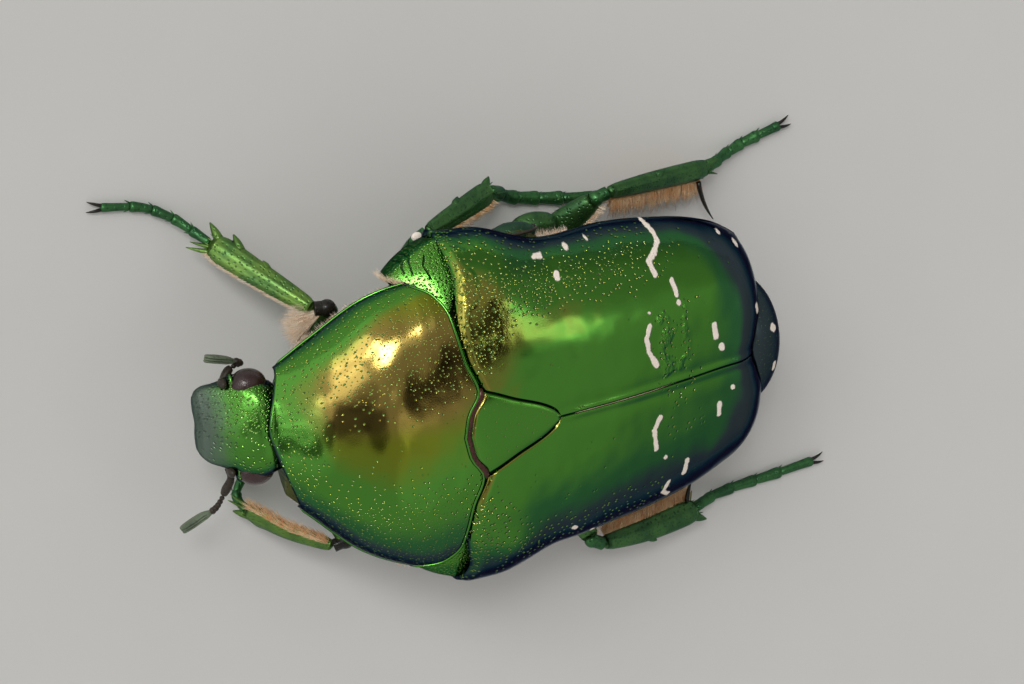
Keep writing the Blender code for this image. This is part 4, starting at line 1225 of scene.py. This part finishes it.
class Coat:
    """Hairs gathered into one mesh, each with a small patch of its own on the unwrap."""

    def __init__(self, seed):
        self.chance = random.Random(seed)
        self.corners = []
        self.faces = []
        self.spots = []

    def hair(self, root, direction, bend, length, girth, spot):
        """One tapering, curved hair of three sides, ending in a point."""
        direction = Vector(direction).normalized()
        root = Vector(root)
        first = len(self.corners)
        side = direction.orthogonal().normalized()
        other = direction.cross(side)
        for k in range(HAIR_STEPS):
            share = k / HAIR_STEPS
            middle = root + direction * (length * share) + Vector(bend) * (length * share * share)
            thin = girth * (1 - share * 0.75)
            for angle in turns(3):
                point = middle + (side * math.cos(angle) + other * math.sin(angle)) * thin
                point.z = max(point.z, 0.01)
                self.corners.append(point)
        tip = root + direction * length + Vector(bend) * length
        tip.z = max(tip.z, 0.02)
        self.corners.append(tip)
        for k in range(HAIR_STEPS):
            for i in range(3):
                j = (i + 1) % 3
                near = first + 3 * k
                if k < HAIR_STEPS - 1:
                    self.faces.append((near + i, near + j, near + 3 + j, near + 3 + i))
                else:
                    self.faces.append((near + i, near + j, first + 3 * HAIR_STEPS))
                self.spots.append(spot)

    def stray(self, reach):
        """A small shift that strays by up to reach along each axis."""
        return Vector([self.chance.uniform(-reach, reach) for axis in range(3)])

    def fringe(self, place, wide, half_width, half_thick, span, angles, length, count, lean, island):
        """Hairs along a limb, rooted on its surface between two angles from its outward side."""
        for k in range(count):
            part = (k + self.chance.random()) / count
            share = between(*span, part)
            angle = math.radians(self.chance.uniform(*angles))
            along, out, thick = frame_at(place, share, wide)
            radial = out * math.cos(angle) + thick * math.sin(angle)
            root = place(share) + out * (half_width(share) * math.cos(angle) * 0.9)
            root += thick * (half_thick(share) * math.sin(angle) * 0.9)
            jitter = self.stray(LIMB_HAIR_STRAY)
            reach = length * self.chance.uniform(*LIMB_HAIR_LENGTHS)
            bend = Vector((0, 0, -LIMB_HAIR_DROOP)) + along * lean * 0.4
            spot = island_spot(island, part, angle % 6.2832 / 6.2832)
            self.hair(root, radial + along * lean + jitter, bend, reach, LIMB_HAIR_GIRTH, spot)

    def margin(self, points, direction, length, count, island):
        """Hairs along an edge of a plate, all pointing roughly one way."""
        place = line_through(points)
        for k in range(count):
            part = (k + self.chance.random()) / count
            root = place(part) + self.stray(EDGE_ROOT_STRAY)
            jitter = self.stray(EDGE_HAIR_STRAY)
            spot = island_spot(island, part, 0.5)
            reach = length * self.chance.uniform(*EDGE_HAIR_LENGTHS)
            bend = (0, 0, -EDGE_HAIR_DROOP)
            self.hair(root, Vector(direction) + jitter, bend, reach, EDGE_HAIR_GIRTH, spot)

    def made(self, name, material, slot_name):
        mesh = bpy.data.meshes.new(name)
        mesh.from_pydata([(point + SHIFT) * MM for point in self.corners], [], self.faces)
        unwrap = mesh.uv_layers.new(name="OFBake")
        patch = ((0.0, 0.0), (0.003, 0.0), (0.003, 0.003), (0.0, 0.003))
        for face, spot in zip(mesh.polygons, self.spots):
            for corner, loop in enumerate(face.loop_indices):
                unwrap.data[loop].uv = (spot[0] + patch[corner][0], spot[1] + patch[corner][1])
        mesh.shade_smooth()
        obj = bpy.data.objects.new(name, mesh)
        bpy.context.scene.collection.objects.link(obj)
        return wear(obj, material, ())


def out_from_middle(place):
    """How far a place is from the body's middle line."""
    x = place.axis("X")
    return x.maths("ABSOLUTE", x)


def elytron_pits(place):
    """How thickly a wing case is pitted: most on its outer front, hardly beside the seam and at the rear."""
    out = out_from_middle(place)
    y = place.axis("Y")
    outer = (out + 1.5 - y.rise(0.8, 2.4) * 1.5).rise(3.2, 4.6) * (1 - out.rise(5.0, 5.8) * 0.7)
    front = 1 - y.rise(2.2, 4.5) * 0.45 - y.rise(7.5, 10.0) * 0.5
    tail = y.rise(7.4, 8.4) * (1 - y.rise(9.2, 10.4)) * (1 - out.rise(2.6, 3.6)) * 0.25
    left = place.axis("X").rise(0.0, 1.5)
    return ((outer * front).most(tail) * 0.9 + (1 - y.rise(0.4, 1.0)) * 0.5) * (1 - left * 0.5)


def elytron_shade_and_sheen_turn(place):
    """Towards its rear a wing case shows its darker glancing tones sooner, and so it does over the left one
    and along the right one's outer edge: painted shade. At its front, and in a strip on the right, it keeps
    its near bronze tones longer: painted reflection.
    """
    x = place.axis("X")
    y = place.axis("Y")
    # Painted shade: darker tones sooner over the left wing case and along the right one's outer edge.
    sides = x.rise(1.0, 4.0) * 0.05 + (1 - x.rise(-5.6, -4.2)) * 0.05
    # Painted reflection: near tones kept longer at the front and in a strip on the right.
    painted_gold_front = (1 - y.rise(1.7, 2.7)) * 0.06
    painted_sheen_strip = x.rise(-4.3, -3.8) * (1 - x.rise(-3.0, -2.5)) * y.rise(1.7, 2.7) * (1 - y.rise(6.5, 7.5)) * 0.04
    return y.rise(10.2, 12.2) * 0.24 + sides - painted_gold_front - painted_sheen_strip


def pronotum_shade_and_sheen_turn(place):
    """The pronotum turns green soonest in front, and a little sooner on its left: painted shade. It keeps
    its near tones longest beside its base, except on its left: painted reflection.
    """
    y = place.axis("Y")
    x = place.axis("X")
    front = (1 - y.rise(-6.3, -6.0)) * 0.15 + (1 - y.rise(-6.0, -5.2)) * 0.03
    base = y.rise(-3.4, -1.8) * 0.04 * (1 - x.rise(1.0, 3.0))
    return front + x.rise(1.5, 4.0) * 0.04 - base


def pronotum_gold_reflection(place):
    """The pronotum's face-on tone is gold on the right of its middle and olive elsewhere: the gold, kept to
    where the bright light is reflected, is a painted reflection.
    """
    x = place.axis("X")
    return x.rise(-5.0, -3.9) * (1 - x.rise(-1.2, -0.1))


def elytron_wrinkles(place):
    """Uneven patches of the wing case, behind its front edge and beside the seam's rear."""
    out = out_from_middle(place)
    y = place.axis("Y")
    tail = y.rise(7.9, 8.3) * (1 - y.rise(8.9, 9.6)) * (1 - out.rise(2.4, 3.2))
    front = (1 - y.rise(1.0, 2.2)) * 0.6 * out.rise(2.6, 3.6)
    patchy = place.noise(0.7, 1.0).rise(0.45, 0.65) * (1 - place.axis("X").rise(-0.5, 0.1))
    return tail.most(front) * patchy * 1.6


def head_dullness_and_sheen(place):
    """The front of the head is duller than the rest, and greyer: the grey is a painted reflection of the
    glancing light.
    """
    y = place.axis("Y") + place.noise(0.5) * 0.6 - 0.3
    return 1 - y.rise(-8.35, -7.3)


def head_pits(place):
    """The head is pitted most on its right half."""
    return (1 - place.axis("X").rise(-1.4, 0.1)) * 0.7 + 0.2


def pronotum_pits(place):
    """More pits towards the sides and the front of the pronotum."""
    side = out_from_middle(place).rise(0.6, 3.4)
    front = 1 - place.axis("Y").rise(-6.0, -4.2)
    return side.most(front) * 0.85 + 0.1


pronotum_green = cuticle("pronotum cuticle", spacing=0.34, pit=0.048, depth=0.028, gloss=0.06,
                         density=pronotum_pits, turned=pronotum_shade_and_sheen_turn, gold_reflection=pronotum_gold_reflection)
rim_green = cuticle("rim cuticle", spacing=0.5, pit=0.02, depth=0.01, gloss=0.12, tones=RIM_TONES)
head_green = cuticle("head cuticle", spacing=0.21, pit=0.055, depth=0.026, gloss=0.16, density=head_pits,
                     tones=LEAF_TONES, dullness_and_sheen=head_dullness_and_sheen)
scutellum_green = cuticle("scutellum cuticle", spacing=0.6, pit=0.04, depth=0.015, gloss=0.12,
                          tones=WING_TONES)
elytron_green = {}
for side_name, side in SIDES:
    elytron_green[side_name] = cuticle(
        f"{side_name} wing case cuticle", MARKS[side_name], spacing=0.30, pit=0.066, depth=0.038,
        gloss=0.08, density=elytron_pits, wrinkled=elytron_wrinkles, tones=WING_TONES, turned=elytron_shade_and_sheen_turn)
tail_green = cuticle("tail plate cuticle", MARKS["tail"], spacing=0.40, pit=0.03, depth=0.02, gloss=0.25,
                     tones=DARK_TONES)
shoulder_green = cuticle("shoulder plate cuticle", MARKS["shoulder"], spacing=0.20, pit=0.055, depth=0.03,
                         gloss=0.16, tones=SHOULDER_TONES, scored=SHOULDER_LINES)
front_leg_green = limb_cuticle("front leg cuticle", (0.19, 0.33, 0.065), (0.05, 0.15, 0.045))
plate_green = limb_cuticle("root plate cuticle", (0.045, 0.11, 0.055), (0.02, 0.06, 0.04))
leg_green = limb_cuticle("leg cuticle", (0.085, 0.215, 0.06), (0.025, 0.085, 0.038))
foot_green = limb_cuticle("foot cuticle", (0.065, 0.215, 0.065), (0.02, 0.07, 0.034))
foot_dark = limb_cuticle("claw cuticle", (0.03, 0.025, 0.018), (0.010, 0.009, 0.008),
                         metallic=0.3, gloss=0.25)
belly_bronze = limb_cuticle("belly cuticle", (0.16, 0.17, 0.05), (0.03, 0.04, 0.02),
                            metallic=0.8, gloss=0.34)
horn_brown = limb_cuticle("antenna cuticle", (0.06, 0.045, 0.03), (0.015, 0.01, 0.008),
                          metallic=0.2, gloss=0.35)
club_grey = limb_cuticle("antenna club cuticle", (0.16, 0.20, 0.13), (0.07, 0.09, 0.06),
                         metallic=0.1, gloss=0.5)
band_maroon = limb_cuticle("band cuticle", (0.10, 0.035, 0.025), (0.03, 0.010, 0.008),
                           metallic=0.3, gloss=0.2)
# The seam's pale tan is partly its own colour and partly a painted highlight along its crest.
seam_tan_and_highlight = limb_cuticle("seam cuticle", (0.50, 0.41, 0.28), (0.22, 0.17, 0.11),
                        metallic=0.3, gloss=0.3)
orange_hair = hair_finish("orange hair", (0.85, 0.46, 0.19), (1.0, 0.74, 0.46))
pale_hair = hair_finish("pale hair", (0.92, 0.68, 0.46), (1.0, 0.86, 0.70))
chalk_white = hair_finish("chalk", CHALK, (0.90, 0.80, 0.70))

# The plates of the back.
pronotum = pronotum_rows()
skin("pronotum", [(pronotum, False)], pronotum_green, ("pronotum",), SHELL)
margin = [row[0] for row in pronotum[2:]]
margin = margin + pronotum[-1][1:-1] + [row[-1] for row in reversed(pronotum[2:])]
skin("pronotum.rim", [bead(margin, RIM_GIRTH)], rim_green, ())
skin("scutellum", [(scutellum_rows(), False)], scutellum_green, ("scutellum",), SHELL)
for side_name, side in SIDES:
    rows = elytron_rows(side)
    skin(f"elytron_{side_name}", [(rows, False)], elytron_green[side_name],
         (f"elytron_{side_name}",), SHELL)
    skin(f"mesepimeron_{side_name}", [(mesepimeron_rows(side), False)], shoulder_green,
         (f"mesepimeron_{side_name}",), SHELL)
# The seam shows behind the scutellum and sinks between the wing cases towards their rear.
seam = []
for row in elytron_rows(1)[SEAM_ROWS]:
    x, y, z = row[0]
    seam.append((0.0, y, z - SEAM_DROP - SEAM_SINK * clamp((y - SEAM_SINK_START) / SEAM_SINK_RUN)))
skin("seam", [bead(seam, SEAM_GIRTH)], seam_tan_and_highlight, ())
band = []
for k in range(-20, 21):
    x = k / 20 * BAND_HALF
    y = pronotum_base(abs(x)) + BAND_SINK
    band.append((x, y, dome(x, back_width(y), back_edge(y), ridge(y), BACK_CURVE) - BAND_SINK))
skin("scutellum_band", [bead(band, BAND_GIRTH, 12)], band_maroon, ())
skin("pygidium", [ball(PYGIDIUM_CENTRE, PYGIDIUM_RADII, 64, 40)], tail_green, ("pygidium",))

# The head, its eyes, feelers and mouth feelers.
ledges = [ball(on_head(side, EYE_LEDGE[0]), EYE_LEDGE[1], 24, 14) for side in (-1, 1)]
skin("head", [head_rings(), *ledges, *palp_surfaces(-1), *palp_surfaces(1)], head_green, ("head",))
for side_name, side in SIDES:
    eye = ball(on_head(side, EYE_CENTRE), EYE_RADII, 40, 24)
    skin(f"eye_{side_name}", [eye], eye_finish(), (f"eye_{side_name}",))
    socket = ball(on_head(side, ANTENNA_SOCKET[0]), ANTENNA_SOCKET[1], 24, 14)
    skin(f"antenna_socket_{side_name}", [socket], horn_brown, ())
    stalk, club = antenna_surfaces(side_name)
    skin(f"antenna_{side_name}", stalk, horn_brown, (f"antenna_{side_name}",))
    skin(f"antenna_club_{side_name}", club, club_grey, ())

# The trunk.
skin("prothorax", [prothorax_rings()], belly_bronze, ("prothorax",))
skin("thorax", [hind_trunk_rings(THORAX_SPAN), ball(*MIDDLE_SPINE)], belly_bronze, ("thorax",))
skin("abdomen", [hind_trunk_rings(ABDOMEN_SPAN, SEGMENT_MARKS)], belly_bronze, ("abdomen",))

# The legs.
for side_name, side in SIDES:
    for pair in COXAE:
        leg = LEGS[(pair, side_name)]
        label = f"{pair}_{side_name}"
        centre, radii = COXAE[pair]
        skin(f"coxa_{label}", [ball(sided(side, centre), radii)], leg_green, (f"coxa_{label}",))
        thigh, knee = femur_surfaces(leg)
        green = front_leg_green if pair == "front" else leg_green
        skin(f"femur_{label}", thigh, green, (f"femur_{label}",))
        knee.append(ball(leg["femur"][-1], KNEE_RADII[pair], 24, 14))
        skin(f"knee_{label}", knee, foot_dark if pair == "front" else foot_green, ())
        skin(f"tibia_{label}", tibia_surfaces(pair, leg), green, (f"tibia_{label}",))
        if pair == "hind":
            start, toward, bend, reach = HIND_SPUR
            root = Vector(leg["tibia"][-1]) + Vector(sided(-side, start))
            spur = hook(root, sided(-side, toward), bend, reach[side_name], SPUR_GIRTH)
            skin(f"spur_{side_name}", [spur], foot_dark, ())
            middle, size = COXA_PLATE
            middle = sided(side, middle)
            skin(f"coxa_plate_{side_name}", [ball(middle, size)], plate_green, ())
            ring = []
            for turn in range(0, 361, 9):
                x = side * COXA_RIM[0] * size[0]
                y = size[1] * COXA_RIM[1] * math.cos(math.radians(turn))
                z = size[2] * COXA_RIM[2] * math.sin(math.radians(turn))
                ring.append(Vector(middle) + Vector((x, y, z)))
            skin(f"coxa_plate_rim_{side_name}", [bead(ring, COXA_RIM_GIRTH)], horn_brown, ())
        joints, claws = tarsus_surfaces(leg, TARSUS_STOUT[pair])
        skin(f"tarsus_{label}", joints, foot_green, (f"tarsus_{label}",))
        skin(f"claws_{label}", claws, foot_dark, ())

skin("trochanter_hind_right", [ball(*HIND_ROOT)], leg_green, ())
skin("knee_spot_right", [ball(*KNEE_SPOT, 24, 14)], chalk_white, ())

# The hair of the legs and of the body's edges.
coats = {pale: Coat(7 + pale) for pale in (False, True)}
for number, (pair, side_name, limb, span, angles, length, count, lean, pale) in enumerate(FRINGES):
    leg = LEGS[(pair, side_name)]
    wide, thick = limb_girths(FEMUR_GIRTH if limb == "femur" else TIBIA_GIRTH[pair])
    face = femur_face(leg) if limb == "femur" else leg["outward"]
    coats[pale].fringe(line_through(leg[limb]), face, wide, thick, span, angles, length, count, lean, number)
for number, side in enumerate((-1, 1)):
    shoulder = [row[0] for row in mesepimeron_rows(side)][8:-2]
    flank = [turn_forebody((side * (pronotum_width(y) - 0.25), y, pronotum_edge(y) - 0.35))
             for y in (-5.4, -4.6, -3.8, -3.0, -2.2, -1.4)]
    beside_legs = [(side * (trunk_side(y) - 0.1), y, back_edge(y) - 1.3)
                   for y in (4.6, 4.9, 5.2, 5.5, 5.8, 6.1)]
    edges = ((shoulder, SHOULDER_HAIR), (flank, FLANK_HAIR), (beside_legs, SIDE_HAIR))
    for k, (line, (toward, length, count)) in enumerate(edges):
        coats[True].margin(line, sided(side, toward), length, count, 16 + 2 * k + number)
coats[False].made("orange_fringes", orange_hair, "limb")
coats[True].made("pale_fringes", pale_hair, "limb")

# The stage: a pale floor that lies a hair below the feet, soft light all round with brighter and
# darker patches, and the camera. The floor's measures are in metres.
FLOOR_REACH = 3
FLOOR_DROP = 0.00002
floor_mesh = bpy.data.meshes.new("floor")
floor_corners = [(FLOOR_REACH * x, FLOOR_REACH * y, 0.0) for x, y in ((-1, -1), (1, -1), (1, 1), (-1, 1))]
floor_mesh.from_pydata(floor_corners, [], [(0, 1, 2, 3)])
floor = bpy.data.objects.new("floor", floor_mesh)
floor.location.z = -FLOOR_DROP
floor.data.materials.append(floor_finish())
bpy.context.scene.collection.objects.link(floor)


def direction(azimuth, elevation):
    """A direction from degrees round from -Y and degrees up."""
    turn = math.radians(azimuth)
    rise = math.radians(elevation)
    return Vector((math.sin(turn) * math.cos(rise), -math.cos(turn) * math.cos(rise), math.sin(rise)))


# Light of the room, and its patches: azimuth, elevation, the angles from its middle where each is
# full and where it has faded, and its light, or the share that it shades.
ROOM = 0.45
GLOW_PATCHES = ((-25, 12, 25, 62, 0.45), (105, 62, 9, 18, 0.12))
DARK_PATCHES = ((15, 27, 5, 7.5, 0.80), (9, 41, 5, 9, 0.80), (2, 55, 8, 12, 0.78), (-15, 58, 5, 8, 0.45),
                (18, 67, 5, 9, 0.75), (-165, 83.5, 6, 8, 0.85), (-133, 77, 6, 9, 0.85),
                (148, 78.5, 4, 5.5, 0.85), (-175, 66, 9, 11.5, 0.85), (178, 59.5, 4, 5.5, 0.85),
                (150, 12, 12, 40, 0.20), (-120, 0, 15, 40, 0.45), (-145, 30, 10, 25, 0.30))
LIGHT_PATCHES = ((-57, 53, 4, 7.5, 20.0), (-53, 41, 3.5, 7, 10.0), (-74, 58, 4, 9, 0.5),
                 (-46, 27, 6, 10, 2.0), (-37, 36, 5, 9, 1.7), (-28, 45, 5, 9, 1.5),
                 (-17, 38.5, 2.5, 5, 1.8), (-12, 31, 2, 4.5, 2.4), (-4, 29.5, 1, 3, 1.2),
                 (4, 26, 0.8, 2.4, 0.9), (11.3, 26.5, 0.8, 2.2, 1.4), (75, 83.2, 1.5, 4, 0.5),
                 (112, 80.7, 1.5, 4, 0.5), (128, 76.8, 1.5, 4, 0.5), (-29, 79, 2, 5, 0.4),
                 (-173, 53.5, 2.5, 5, 1.9), (-176, 47, 1.5, 4, 0.7), (178, 55, 1.5, 3.5, 0.6))


def lit(look, patches, strength, shading):
    """The light of the room after these patches are added to it or, when shading, taken from it."""
    for azimuth, elevation, full, faded, share in patches:
        toward = look.along("DOT_PRODUCT", tuple(direction(azimuth, elevation)))
        within = toward.rise(math.cos(math.radians(faded)), math.cos(math.radians(full))) * share
        strength = (1 - within) * strength if shading else within + strength
    return strength


world = bpy.data.worlds.new("studio")
world.use_nodes = True
world.node_tree.nodes.clear()
bpy.context.scene.world = world
room = Shade(world.node_tree)
look = room.node("ShaderNodeTexCoord", {}, output=0)
strength = lit(look, GLOW_PATCHES, ROOM, False)
strength = lit(look, DARK_PATCHES, strength, True)
strength = lit(look, LIGHT_PATCHES, strength, False)
background = room.node("ShaderNodeBackground", {"Color": (1.0, 0.985, 0.96, 1.0), "Strength": strength})
room.node("ShaderNodeOutputWorld", {"Surface": background})

CAMERA_RIGHT = Vector((0.05189, 0.92274, 0.38191))
CAMERA_UP = Vector((-0.93826, 0.17602, -0.29780))
CAMERA_BACK = Vector((-0.34202, -0.34287, 0.87491))
CAMERA_PLACE = Vector((-48.299, -43.300, 124.309))
CAMERA_LENS = 131.39
camera = bpy.data.objects.new("camera", bpy.data.cameras.new("camera"))
camera.data.sensor_width = 36.0
camera.data.lens = CAMERA_LENS
camera.data.clip_start = 0.01
camera.matrix_world = Matrix.LocRotScale(
    (CAMERA_PLACE + SHIFT) * MM, Matrix((CAMERA_RIGHT, CAMERA_UP, CAMERA_BACK)).transposed(), None
)
bpy.context.scene.collection.objects.link(camera)
bpy.context.scene.camera = camera
bpy.context.scene.view_settings.view_transform = "Standard"
